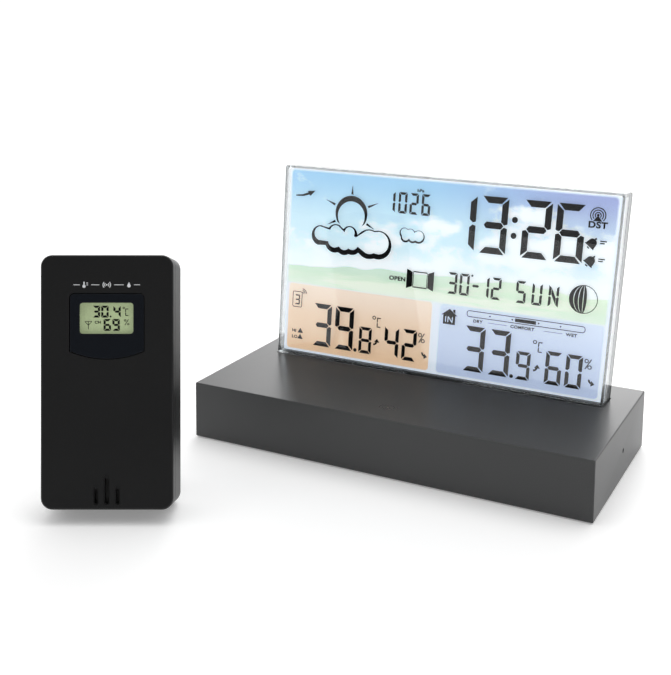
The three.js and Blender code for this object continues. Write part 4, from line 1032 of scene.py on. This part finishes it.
def turned(profile, sides=48):
    """A solid of revolution round Z from its outline, as radius and height, from axis to axis."""
    bm = bmesh.new()
    points = [bm.verts.new((radius, 0, height)) for radius, height in profile]
    edges = [bm.edges.new(pair) for pair in zip(points, points[1:])]
    bmesh.ops.spin(bm, geom=points + edges, cent=(0, 0, 0), axis=(0, 0, 1), dvec=(0, 0, 0), angle=2 * pi,
                   steps=sides, use_merge=True)
    bmesh.ops.remove_doubles(bm, verts=bm.verts, dist=1e-4)
    bmesh.ops.recalc_face_normals(bm, faces=bm.faces)
    return bm


# Drawn, cut or cast metal: fine streaks along one way, dull patches and a few bright scratches.
metal, given, gives = new_group(
    "metal_surface",
    {"Colour": (0.5, 0.5, 0.5, 1), "Roughness": 0.3, "Streak Stretch": (1.0, 1.0, 0.08),
     "Streak Scale": 900.0},
    {"Colour": "Color", "Roughness": "Float", "Height": "Float"},
)
at = node(metal, "TexCoord").outputs["Object"]
drawn = node(metal, "VectorMath", {0: at, 1: given["Streak Stretch"]}, operation="MULTIPLY")
streaks = node(metal, "TexNoise", {"Vector": drawn.outputs["Vector"], "Scale": given["Streak Scale"],
                                   "Detail": 4.0})
dull = node(metal, "TexNoise", {"Vector": at, "Scale": 220.0, "Detail": 3.0})
dull_share = node(metal, "MapRange", {
    "Value": dull.outputs["Fac"], "From Min": 0.4, "From Max": 0.7, "To Min": 1.0, "To Max": 0.78,
})
metal_tone = node(metal, "VectorMath", {0: given["Colour"], "Scale": dull_share.outputs["Result"]},
                  operation="SCALE")
metal_gloss = node(metal, "Math", {0: streaks.outputs["Fac"], 1: 0.18, 2: given["Roughness"]},
                   operation="MULTIPLY_ADD")
metal.links.new(metal_tone.outputs["Vector"], gives["Colour"])
metal.links.new(metal_gloss.outputs["Value"], gives["Roughness"])
metal.links.new(streaks.outputs["Fac"], gives["Height"])


def metal_material(name, colour, roughness, stretch=(1.0, 1.0, 0.08)):
    made, tree, shader = bare_material(name, colour, roughness, {"Metallic": 1.0})
    surface = node(tree, "Group", node_tree=metal)
    surface.inputs["Colour"].default_value = (*colour, 1)
    surface.inputs["Roughness"].default_value = roughness
    surface.inputs["Streak Stretch"].default_value = stretch
    tree.links.new(surface.outputs["Colour"], shader.inputs["Base Color"])
    tree.links.new(surface.outputs["Roughness"], shader.inputs["Roughness"])
    add_bump(tree, shader, surface.outputs["Height"], 0.3, 0.00002)
    return made


rubber = plastic("foot_rubber", (0.018, 0.018, 0.018), 0.72, spread=0.05, grain_scale=1200.0,
                 grain_depth=0.00005)
screw_steel = metal_material("screw_steel", (0.42, 0.42, 0.43), 0.28)
for i, (x, y) in enumerate(FOOT_PLACES):
    outline = [(0, 0.35), (2.6, 0.35), (3.1, 0.05), (3.4, 0), (4.5, 0), (4.85, 0.12), (5, 0.45),
               (5, FOOT_HEIGHT), (0, FOOT_HEIGHT)]
    piece(f"rubber_foot_{i + 1}", turned(outline), rubber, "console", [f"foot_{i + 1}"],
          Matrix.Translation((x, y, 0)))


def screw(head, head_height, shank, length, recess):
    """A pan head screw that stands on its head at the origin. Its pointed end is up."""
    profile = [(0, 0), (head * 0.72, 0), (head * 0.93, head_height * 0.18), (head, head_height * 0.5),
               (head, head_height), (shank, head_height), (shank, length - shank), (0.2, length),
               (0, length)]
    slots = [slab(about(0, across), about(0, along), (-1, head_height * 0.55), "Z", 0.12, corner_steps=2)
             for across, along in ((recess, recess * 0.26), (recess * 0.26, recess))]
    return boolean(turned(profile, 36), "DIFFERENCE", slots)


for i, (x, y) in enumerate(SCREW_PLACES):
    piece(f"cover_screw_{i + 1}", screw(SCREW_HEAD, 0.8, 1.1, 12 - HEAD_Z[0], 1.5), screw_steel, "console",
          [f"base_screw_{i + 1}"], Matrix.Translation((x, y, HEAD_Z[0])))
for side, x in zip(("left", "right"), TENON_XS):
    piece(f"clamp_screw_{side}", screw(2.6, 1.5, 1.1, 8.3, 1.4), screw_steel, "console",
          [f"display_screw_{side}"],
          on_display @ Matrix.Translation((x, tenon_middle, -7.8)))
    clamp = slab(about(x, 11), (4.5, 15.5), (-6, -4.5), "Z", 1.2, 0.2)
    clamp = boolean(clamp, "DIFFERENCE", [peg(1.4, (-8, -2), (x, tenon_middle))])
    piece(f"clamp_plate_{side}", clamp, screw_steel, "console", [f"display_clamp_{side}"],
          on_display)

# ---------------------------------------------------------------- rear keys
# Six black keys in the rear wall. Each has a flange inside the wall and a small raised symbol.

key_black = plastic("key_black_plastic", (0.03, 0.03, 0.031), 0.38, grain_scale=1800.0)
KEY_FACE = base_high.y + 0.85
KEY_MARKS = (
    [ring(1.0, 0.72, 24), dot(0.3, 12)],
    [line(-0.9, 0, 0.9, 0, 0.32), line(0, -0.9, 0, 0.9, 0.32)],
    [line(-0.9, 0, 0.9, 0, 0.32)],
    [flat((-1, -0.75), (1, -0.75), (0, 0.95))],
    [flat((1, 0.75), (-1, 0.75), (0, -0.95))],
    [ring(1.0, 0.72, 24, start=-60, turn=300), line(0, 0, 0, 1.1, 0.28)],
)
for i, (x, marks) in enumerate(zip(KEY_XS, KEY_MARKS)):
    cap = slab(about(x, KEY_HALF[0]), (base_high.y - 3, KEY_FACE), about(KEY_Z, KEY_HALF[1]),
               corner=KEY_CORNER, edge=0.3, eased=(False, True))
    dish = slab(about(x, KEY_HALF[0] - 0.7), (KEY_FACE - 0.15, KEY_FACE + 1),
                about(KEY_Z, KEY_HALF[1] - 0.7), corner=KEY_CORNER - 0.5)
    flange = slab(about(x, KEY_HALF[0] + 1), (base_high.y - 3.8, base_high.y - 2.3),
                  about(KEY_Z, KEY_HALF[1] + 1), corner=0.6)
    key = boolean(boolean(cap, "UNION", [flange]), "DIFFERENCE", [dish])
    symbol = placed(thickened(together(*marks), 0.25), Matrix.Translation((x, KEY_FACE - 0.17, KEY_Z)))
    piece(f"key_{i + 1}", key, key_black, f"rear_key_{i + 1}", [f"rear_key_{i + 1}"],
          ease=0.08)
    piece(f"key_symbol_{i + 1}", symbol, key_black, f"rear_key_{i + 1}")

# ---------------------------------------------------------------- supply socket
# A round low-voltage socket: black body and collar, and a steel pin in its bore.

socket_black = plastic("socket_plastic", (0.012, 0.012, 0.013), 0.35)
body = slab((67.5, 76.5), (28, base_high.y - 2.3), (8.4, 18.4), corner=0.5, edge=0.3)
collar = slab(about(SOCKET[0], SOCKET_COLLAR), (36, base_high.y - 0.2), about(SOCKET[1], SOCKET_COLLAR),
              corner=SOCKET_COLLAR - 0.01, corner_steps=12, edge=0.25, eased=(False, True))
bore = peg(3.1, (31, 50), SOCKET, "Y", 40)
socket = boolean(boolean(body, "UNION", [collar]), "DIFFERENCE", [bore])
piece("socket_body", socket, socket_black, "console", ["supply_socket"], ease=0.1)
pin = turned([(0, 0), (1, 0), (1, 8.9), (0.8, 9.5), (0.4, 9.8), (0, 9.85)], 32)
piece("socket_pin", pin, screw_steel, "console",
      place=Matrix.Translation((SOCKET[0], 30.9, SOCKET[1])) @ Matrix.Rotation(-pi / 2, 4, "X"))

# ---------------------------------------------------------------- battery cells
# Steel cans with a printed sleeve, a crimped shoulder and a button. Neighbours point opposite ways.

CELL_RADIUS = 5.25
CELL_LENGTH = 44.5
CAN = [(0, 0.15), (3.4, 0.15), (3.6, 0), (4.6, 0), (4.95, 0.25), (5.05, 0.7), (5.05, 42.6), (4.8, 43.1),
       (4.3, 43.35), (2.7, 43.4), (2.5, 43.1), (2.1, 43.1), (1.9, 43.4), (1.9, 44.2), (1.6, CELL_LENGTH),
       (0, CELL_LENGTH)]
SLEEVE = [(5.06, 0.5), (5.2, 0.55), (CELL_RADIUS, 0.8), (CELL_RADIUS, 42.3), (5.15, 42.8), (5.06, 42.7),
          (5.06, 0.5)]
can_steel = metal_material("cell_can_steel", (0.62, 0.62, 0.63), 0.2, stretch=(1.0, 1.0, 1.0))
sleeve_film = plastic("cell_sleeve_film", (0.03, 0.16, 0.09), 0.3, grain_scale=900.0, rub=1.6,
                      extra={"Coat Weight": 0.4, "Coat Roughness": 0.15})


def battery_cell(number, body, node_name, place):
    piece(f"cell_can_{number}", turned(CAN), can_steel, body, [node_name], place)
    piece(f"cell_sleeve_{number}", turned(SLEEVE), sleeve_film, body, place=place)


for i, y in enumerate((-11.2, 0, 11.2)):
    along = Matrix.Translation((-78.4, y, 8.4)) @ Matrix.Rotation(pi / 2, 4, "Y")
    if i == 1:
        along = Matrix.Translation((CELL_LENGTH - 78.4, y, 8.4)) @ Matrix.Rotation(-pi / 2, 4, "Y")
    battery_cell(f"console_{i + 1}", "console", f"console_cell_{i + 1}", along)

# ---------------------------------------------------------------- inside the console
# Spring contacts, circuit boards, the wound ferrite aerial and the backlight parts keep the shapes
# they already have, and are given their own materials. The buzzer is drawn anew as a turned sounder.


def dress(material, *names):
    """Gives a finish to pieces that keep the shape they already have."""
    for name in names:
        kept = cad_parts[name]
        kept.data.materials.clear()
        kept.data.materials.append(material)


board_green, tree, shader = bare_material("circuit_board", (0.02, 0.12, 0.05), 0.35, {"Coat Weight": 0.3})
at = node(tree, "TexCoord").outputs["Object"]
tracks = node(tree, "TexBrick", {
    "Vector": at, "Color1": (0.02, 0.12, 0.05, 1), "Color2": (0.03, 0.15, 0.06, 1),
    "Mortar": (0.07, 0.26, 0.11, 1), "Scale": 260.0, "Mortar Size": 0.03, "Brick Width": 0.9,
    "Row Height": 0.3,
})
holes = node(tree, "TexVoronoi", {"Vector": at, "Scale": 190.0, "Randomness": 0.6}).outputs["Distance"]
pads = node(tree, "MapRange", {"Value": holes, "From Min": 0.16, "From Max": 0.2, "To Min": 1.0,
                               "To Max": 0.0})
board_tone = node(tree, "Mix", {
    "Factor": pads.outputs["Result"], "A": tracks.outputs["Color"], "B": (0.55, 0.5, 0.36, 1),
}, data_type="RGBA")
tree.links.new(board_tone.outputs["Result"], shader.inputs["Base Color"])
add_bump(tree, shader, tracks.outputs["Fac"], 0.4, 0.00004)

contact_steel = metal_material("contact_steel", (0.66, 0.65, 0.62), 0.22)
copper = metal_material("copper", (0.72, 0.36, 0.2), 0.25)
white_plastic = plastic("white_plastic", (0.8, 0.8, 0.79), 0.42, spread=0.04, rub=1.1)
ferrite = plastic("ferrite", (0.05, 0.045, 0.042), 0.5, grain_scale=1600.0, grain_depth=0.00005)
ribbon_film, tree, shader = bare_material("ribbon_film", (0.75, 0.76, 0.78), 0.3)
wires = node(tree, "TexWave", {"Vector": node(tree, "TexCoord").outputs["Object"], "Scale": 320.0},
             bands_direction="X")
wire_tone = node(tree, "Mix", {
    "Factor": wires.outputs["Fac"], "A": (0.82, 0.83, 0.85, 1), "B": (0.6, 0.6, 0.61, 1),
}, data_type="RGBA")
tree.links.new(wire_tone.outputs["Result"], shader.inputs["Base Color"])
add_bump(tree, shader, wires.outputs["Fac"], 0.3, 0.00003)

dress(contact_steel, "console_contact_left", "console_contact_right")
dress(board_green, "main_board", "key_board", "receiver_module")
dress(ferrite, "clock_antenna")
dress(copper, "touch_pad")
dress(white_plastic, "climate_sensor", "light_guide", "backlight_bar", "reflector_sheet")
dress(ribbon_film, "display_ribbon")
sounder = turned([(0, 0), (7, 0), (7, 3.9), (6.7, 4.2), (1.6, 4.2), (1.4, 3.2), (0, 3.2)])
piece("sounder", sounder, socket_black, "console", ["buzzer"],
      Matrix.Translation((0, -24, 6.9)))

# ---------------------------------------------------------------- outdoor sensor: front shell
# A slim black case with round corners, in two halves. The front has a seat for the lens, a window
# behind it and three slots that let the air in, each in a shallow dish.

SENSOR_PLACE = (-72.4, -126.6, 6.2235)
SENSOR_TURN = radians(27.66)
SENSOR_LEAN = radians(18.13)
on_sensor = Matrix.Translation(SENSOR_PLACE) @ Matrix.Rotation(SENSOR_TURN, 4, "Z")
on_sensor = on_sensor @ Matrix.Rotation(-SENSOR_LEAN, 4, "X")
CASE_HALF = 25.15
CASE_HEIGHT = 96.5
CASE_DEPTH = 20
CASE_CORNER = 4.4
CASE_EDGE = 0.8
CASE_WALL = 1.8
CASE_PARTING = (5.6, 5.9)
SENSOR_SCREWS = [(x, 89) for x in (-19.2, 19.2)]
LENS_HALF = 14
LENS_TOP = 81.8
LENS_SIDE_FOOT = 60.2
LENS_FOOT = 57.2
LENS_CORNER = 1.6
LENS_SEAT = 1.5
LENS_WINDOW = ((-10.3, 10.0), (66.7, 78.4))

sensor_black = plastic("sensor_black_plastic", (0.0105, 0.0106, 0.011), 0.42, spread=0.03,
                       grain_scale=2000.0, rub=1.1, extra={"Specular IOR Level": 0.3})


def lens_shape(grow, y):
    """A plate with straight sides, round upper corners and a lower edge that bulges down."""
    half, corner = LENS_HALF + grow, LENS_CORNER + grow
    sag = LENS_SIDE_FOOT - LENS_FOOT
    radius = (half * half + sag * sag) / (2 * sag)
    swing = degrees(asin(half / radius))
    middle = LENS_FOOT - grow + radius
    bulge = round_points(0, middle, radius, -90 - swing, -90 + swing, 29)
    right_corner = round_points(half - corner, LENS_TOP + grow - corner, corner, 0, 90, 7)
    left_corner = round_points(corner - half, LENS_TOP + grow - corner, corner, 90, 180, 7)
    plate = thickened(flat(*bulge, *right_corner, *left_corner), y[1] - y[0])
    return placed(plate, Matrix.Translation((0, y[0], 0)))


case_front = slab(about(0, CASE_HALF), (0, CASE_PARTING[0]), (0, CASE_HEIGHT), corner=CASE_CORNER,
                  edge=CASE_EDGE, corner_steps=10, edge_steps=4, eased=(True, False))
front_hollow = slab(about(0, CASE_HALF - CASE_WALL), (2.4, 9), (CASE_WALL, CASE_HEIGHT - CASE_WALL),
                    corner=CASE_CORNER - CASE_WALL)
front_bosses = together(*[peg(2.8, (2, CASE_PARTING[0]), place, "Y") for place in SENSOR_SCREWS])
case_front = boolean(boolean(case_front, "DIFFERENCE", [front_hollow]), "UNION", [front_bosses])
front_bores = together(*[peg(1.3, (1.4, 9), place, "Y", 24) for place in SENSOR_SCREWS])
window = slab((-12, 12), (-1, 4), (62.5, 80))
VENTS = ((-4.1, 0.65, 8), (0, 0.8, 12.2), (4.1, 0.65, 8))
vents = together(*[slab(about(x, half), (-1, 4), (2.2, top), corner=half - 0.01) for x, half, top in VENTS])
dishes = together(*[
    slab(about(x, half + 0.35), (-1, 0.3), (2.2 - 0.35, top + 1.2), corner=half + 0.3)
    for x, half, top in VENTS
])
lens_seat = lens_shape(FIT, (-1, LENS_SEAT))
case_front = boolean(case_front, "DIFFERENCE", [lens_seat, window, front_bores, dishes, vents])
piece("sensor_front_case", case_front, sensor_black, "sensor", ["sensor_front_shell"],
      on_sensor)
fleece = slab((-6.5, 6.5), (2.45, 2.7), (1.9, 13.4), corner=1.0)
piece("vent_fleece", fleece, rubber, "sensor", place=on_sensor)

# ---------------------------------------------------------------- outdoor sensor: lens and display
# A glossy blue-black lens with a clear opening over a small grey-green liquid crystal, which shows
# the temperature and the humidity. White pictograms are printed above the lens.

dark_lens, tree, shader = bare_material("dark_lens", (0.008, 0.010, 0.014), 0.12,
                                        {"Specular IOR Level": 0.35})
marks = node(tree, "Group", node_tree=smeared)
marks.inputs["Roughness"].default_value = 0.12
marks.inputs["Smear"].default_value = 0.05
tree.links.new(marks.outputs["Roughness"], shader.inputs["Roughness"])
add_bump(tree, shader, marks.outputs["Smears"], 0.05, 0.000005)

opening = slab(LENS_WINDOW[0], (-1, 3), LENS_WINDOW[1], corner=1.1, corner_steps=6)
mask = boolean(lens_shape(0, (0.1, 1.2)), "DIFFERENCE", [opening])
piece("lens_mask", mask, dark_lens, "sensor", ["sensor_lens"], on_sensor, ease=0.12)
pane_clear = clear_sheet("lens_pane_clear", (0.97, 0.98, 0.98), 0.0, 0.004, 1.04)
pane = slab(grown(LENS_WINDOW[0], -0.05), (0.3, 1.0), grown(LENS_WINDOW[1], -0.05), corner=1.05, edge=0.08,
            corner_steps=6)
piece("lens_pane", pane, pane_clear, "sensor", place=on_sensor)

# The crystal sheet also glows with its own colour (Emission Strength 0.36), though no lamp lies behind it:
# a painted glow that brightens it.
crystal, tree, shader = bare_material("sensor_lcd_glass", (0.39, 0.48, 0.27), 0.4,
                                      {"Emission Strength": 0.36})
at = node(tree, "TexCoord").outputs["Object"]
crystal_grain = node(tree, "TexNoise", {"Vector": at, "Scale": 1600.0, "Detail": 2.0}).outputs["Fac"]
crystal_share = node(tree, "MapRange", {"Value": crystal_grain, "From Min": 0.3, "From Max": 0.7,
                                        "To Min": 0.94, "To Max": 1.06})
crystal_colour_and_painted_glow = node(tree, "VectorMath", {0: (0.40, 0.475, 0.27), "Scale": crystal_share.outputs["Result"]},
                    operation="SCALE")
tree.links.new(crystal_colour_and_painted_glow.outputs["Vector"], shader.inputs["Base Color"])
tree.links.new(crystal_colour_and_painted_glow.outputs["Vector"], shader.inputs["Emission Color"])
add_bump(tree, shader, crystal_grain, 0.1, 0.00001)
sheet = slab((-11.7, 11.7), (2, 3.6), (62.8, 79.7), corner=0.3, edge=0.15, corner_steps=2)
piece("sensor_lcd_sheet", sheet, crystal, "sensor", ["sensor_lcd"], on_sensor)

BIG_READING = dict(w=2.8, h=4.5, t=0.82)
readings = digits("30", (-5.75, -2.5), z=72.85, **BIG_READING)
readings += digits("4", (2.1,), z=72.85, **BIG_READING)
readings += [moved(dot(0.36, 12), 1.05, 73.25), moved(ring(0.42, 0.2, 12), 6.05, 76.5)]
readings += digits("C", (6.6,), z=73.5, w=1.35, h=2.75, t=0.3)
readings += digits("69", (-1.6, 1.75), z=67.8, **BIG_READING)
readings += [line(-7.4, 68.4, -7.4, 71.4, 0.22), line(-8.7, 71.3, -7.4, 69.9, 0.2),
             line(-6.1, 71.3, -7.4, 69.9, 0.2), line(-8.7, 71.4, -6.1, 71.4, 0.2),
             words("CH", -5.0, 70.6, 0.95)]
readings += [moved(ring(0.42, 0.2, 12), 6.6, 71.75), moved(ring(0.42, 0.2, 12), 7.75, 70.35),
             line(6.5, 69.95, 7.85, 72.15, 0.24)]
reading_ink = plastic("reading_ink", (0.008, 0.009, 0.008), 0.5, spread=0.05, rub=1.0,
                      extra={"Specular IOR Level": 0.1})
piece("sensor_readings", thickened(together(*readings), 0.05), reading_ink, "sensor",
      place=on_sensor @ Matrix.Translation((0, 1.93, 0)))


def drop(x, z, size):
    return flat(*[(x + size * px, z + size * pz) for px, pz in round_points(0, 0, 0.62, 150, 390, 14)],
                (x, z + size * 1.35))


LABEL_Z = 85.2
label = [moved(dot(0.32, 16), 0, LABEL_Z)]
label += [moved(ring(r, r - 0.3, 20, start=start, turn=90), 0, LABEL_Z)
          for r in (0.95, 1.6) for start in (-45, 135)]
label += [moved(dot(0.62, 20), -8.6, LABEL_Z - 0.55)]
label += [flat((-8.85, LABEL_Z - 0.3), (-8.35, LABEL_Z - 0.3), (-8.35, LABEL_Z + 1.15),
               (-8.85, LABEL_Z + 1.15))]
label += [line(-7.7, LABEL_Z + up, -7.1, LABEL_Z + up, 0.2) for up in (-0.1, 0.35, 0.8)]
label += [drop(8.4, LABEL_Z - 0.35, 1.05)]
label += [line(a, LABEL_Z, b, LABEL_Z, 0.24)
          for a, b in ((-12.6, -10.2), (-5.9, -2.8), (2.8, 6.4), (10.3, 12.6))]
label_white = plastic("label_white", (0.82, 0.84, 0.86), 0.5, spread=0.03, rub=1.0)
piece("sensor_label", thickened(together(*label), 0.04), label_white, "sensor",
      place=on_sensor @ Matrix.Translation((0, -0.025, 0)))

# ---------------------------------------------------------------- outdoor sensor: rear shell
# It has the battery bay, a keyhole to hang it by, a channel that takes the folded leg, sunk screws,
# and openings for the channel switch and the transmit button.

REAR_INNER = CASE_DEPTH - CASE_WALL
BAY_X = (-11.6, 11.6)
BAY_Z = (8, 58)
CONTROL_Z = 66
SWITCH_X = -8
BUTTON_X = 8
LEG_PIVOT = (18.6, 52)
LEG_ARM = (16.6, 19.8)
LEG_REACH = 48.71
LEG_SWING = radians(24)                      # how far the leg stands open
LEG_HALF = 1.4
LEG_BAR = 3.2
PEG_END = 21.6


def flipped(span):
    return (-span[1], -span[0])


case_rear = slab(about(0, CASE_HALF), (CASE_PARTING[1], CASE_DEPTH), (0, CASE_HEIGHT), corner=CASE_CORNER,
                 edge=CASE_EDGE, corner_steps=10, edge_steps=4, eased=(False, True))
lower_hollow = slab(about(0, CASE_HALF - CASE_WALL), (0, CASE_DEPTH - 4.4), (CASE_WALL, BAY_Z[1] + 4),
                    corner=2.6)
upper_hollow = slab(about(0, CASE_HALF - CASE_WALL), (0, REAR_INNER),
                    (BAY_Z[1] + 1, CASE_HEIGHT - CASE_WALL), corner=2.6)
case_rear = boolean(case_rear, "DIFFERENCE", [lower_hollow, upper_hollow])
bay = slab(grown(BAY_X, 1.2), (CASE_PARTING[1], REAR_INNER + 0.5), grown(BAY_Z, 1.2))
pocket_block = slab((-5.2, 5.2), (14.9, REAR_INNER + 0.5), (76.8, 94))
rear_bosses = together(*[peg(3.2, (CASE_PARTING[1], 19), place, "Y") for place in SENSOR_SCREWS])
case_rear = boolean(case_rear, "UNION", [bay, pocket_block, rear_bosses])
leg_low = LEG_PIVOT[1] - LEG_REACH - LEG_HALF - FIT
leg_room = (CASE_DEPTH - 2 * LEG_HALF - FIT, CASE_DEPTH + 1)
leg_arm = grown(LEG_ARM, FIT)
peg_room = (LEG_ARM[0], PEG_END + FIT)
case_rear = boolean(case_rear, "DIFFERENCE", [
    slab(BAY_X, (6.9, CASE_DEPTH + 1), BAY_Z),
    together(*[peg(2.5, (REAR_INNER - 0.2, CASE_DEPTH + 1), place, "Y", 40) for place in SENSOR_SCREWS]),
    together(*[peg(1.3, (5, REAR_INNER + 1), place, "Y", 24) for place in SENSOR_SCREWS]),
    slab((-3.8, 3.8), (16.3, REAR_INNER), (78.2, 92.6), corner=2),
    peg(3.5, (REAR_INNER - 0.5, CASE_DEPTH + 1), (0, 82), "Y", 48),
    slab((-1.8, 1.8), (REAR_INNER - 0.5, CASE_DEPTH + 1), (82, 89), corner=1.79),
    slab(about(SWITCH_X, 4.5), (15, CASE_DEPTH + 1), about(CONTROL_Z, 1.8)),
    peg(2.3, (15, CASE_DEPTH + 1), (BUTTON_X, CONTROL_Z), "Y", 40),
    slab(leg_arm, leg_room, (leg_low, LEG_PIVOT[1] + LEG_HALF + 0.5)),
    slab(flipped(leg_arm), leg_room, (leg_low, LEG_PIVOT[1] + LEG_HALF + 0.5)),
    slab((-leg_arm[1], leg_arm[1]), leg_room, (leg_low, leg_low + LEG_BAR + 2 * FIT)),
    peg(1.15, peg_room, LEG_PIVOT, "X", 24), peg(1.15, flipped(peg_room), LEG_PIVOT, "X", 24),
])
piece("sensor_rear_case", case_rear, sensor_black, "sensor", ["sensor_rear_shell"],
      on_sensor)

# ---------------------------------------------------------------- outdoor sensor: door, leg and controls
# The battery lid has finger grooves and an arrow. The leg is a frame on two pegs that swings out of
# its channel. Above the lid are a ribbed three-way switch and a rubber button.

lid = slab(grown(BAY_X, -FIT), (CASE_DEPTH - 1.8, CASE_DEPTH), grown(BAY_Z, -FIT), corner=0.8, edge=0.25,
           eased=(False, True))
lid_grooves = together(*[
    slab((-5, 5), (CASE_DEPTH - 0.4, CASE_DEPTH + 1), about(z, 0.5), corner=0.4) for z in (51.5, 53.5, 55.5)
])
lid_arrow = placed(thickened(flat((-2.2, 47.6), (2.2, 47.6), (0, 44.6)), 1.0),
                   Matrix.Translation((0, CASE_DEPTH - 0.3, 0)))
piece("sensor_battery_lid", boolean(lid, "DIFFERENCE", [lid_grooves, lid_arrow]), sensor_black,
      "sensor_battery_door", ["sensor_battery_door"], on_sensor, ease=0.08)

leg_frame = slab((-LEG_ARM[1], LEG_ARM[1]), about(0, LEG_HALF), (-LEG_REACH - LEG_HALF, LEG_HALF), axis="X",
                 corner=LEG_HALF - 0.1, edge=0.2)
leg_opening = slab((-LEG_ARM[0], LEG_ARM[0]), (-3, 3), (LEG_BAR - LEG_REACH - LEG_HALF, 3))
leg_pegs = together(peg(0.85, (LEG_ARM[1] - 1, PEG_END), (0, 0), "X", 24),
                    peg(0.85, flipped((LEG_ARM[1] - 1, PEG_END)), (0, 0), "X", 24))
leg = boolean(boolean(leg_frame, "DIFFERENCE", [leg_opening]), "UNION", [leg_pegs])
piece("leg_frame", leg, sensor_black, "stand_leg", ["stand_leg"],
      on_sensor @ Matrix.Translation((0, *LEG_PIVOT)) @ Matrix.Rotation(LEG_SWING, 4, "X"), ease=0.1)

knob = slab(about(SWITCH_X, 1.5), (16.8, CASE_DEPTH - FIT), about(CONTROL_Z, 1.5), corner=0.2, edge=0.15,
            corner_steps=2, eased=(False, True))
knob = boolean(knob, "UNION", [slab(about(SWITCH_X, 3), (16.4, REAR_INNER - FIT), about(CONTROL_Z, 3),
                                    corner=0.3)])
knob_ribs = together(*[
    slab(about(SWITCH_X + by, 0.2), (CASE_DEPTH - 0.6, CASE_DEPTH + 1), about(CONTROL_Z, 2))
    for by in (-0.8, 0, 0.8)
])
piece("switch_knob", boolean(knob, "DIFFERENCE", [knob_ribs]), matte_black, "channel_switch",
      ["channel_switch"], on_sensor, ease=0.06)

into_case = on_sensor @ Matrix.Translation((BUTTON_X, 0, CONTROL_Z)) @ Matrix.Rotation(-pi / 2, 4, "X")
button = turned([(0, 16.2), (3.2, 16.2), (3.2, 17.9), (2, 17.9), (2, 19.5), (1.75, 19.75), (1.3, 19.8),
                 (0.9, 19.65), (0, 19.6)], 40)
piece("send_button", button, rubber, "transmit_button", ["transmit_button"], into_case)

for side, (x, z) in zip(("left", "right"), SENSOR_SCREWS):
    head_out = on_sensor @ Matrix.Translation((x, CASE_DEPTH - 0.3, z)) @ Matrix.Rotation(pi / 2, 4, "X")
    piece(f"case_screw_{side}", screw(2.2, 1.4, 1.0, 16.7, 1.2), screw_steel, "sensor",
          [f"sensor_screw_{side}"], head_out)

for i, x in enumerate((-5.4, 5.4)):
    upright = Matrix.Translation((x, 12.45, 10.75))
    if i == 0:
        upright = Matrix.Translation((x, 12.45, 10.75 + CELL_LENGTH)) @ Matrix.Rotation(pi, 4, "X")
    battery_cell(f"sensor_{i + 1}", "sensor", f"sensor_cell_{i + 1}", on_sensor @ upright)

dress(board_green, "sensor_board")
dress(white_plastic, "sensor_probe")
dress(copper, "sensor_antenna")
dress(contact_steel, "sensor_contact_top", "sensor_contact_bottom")
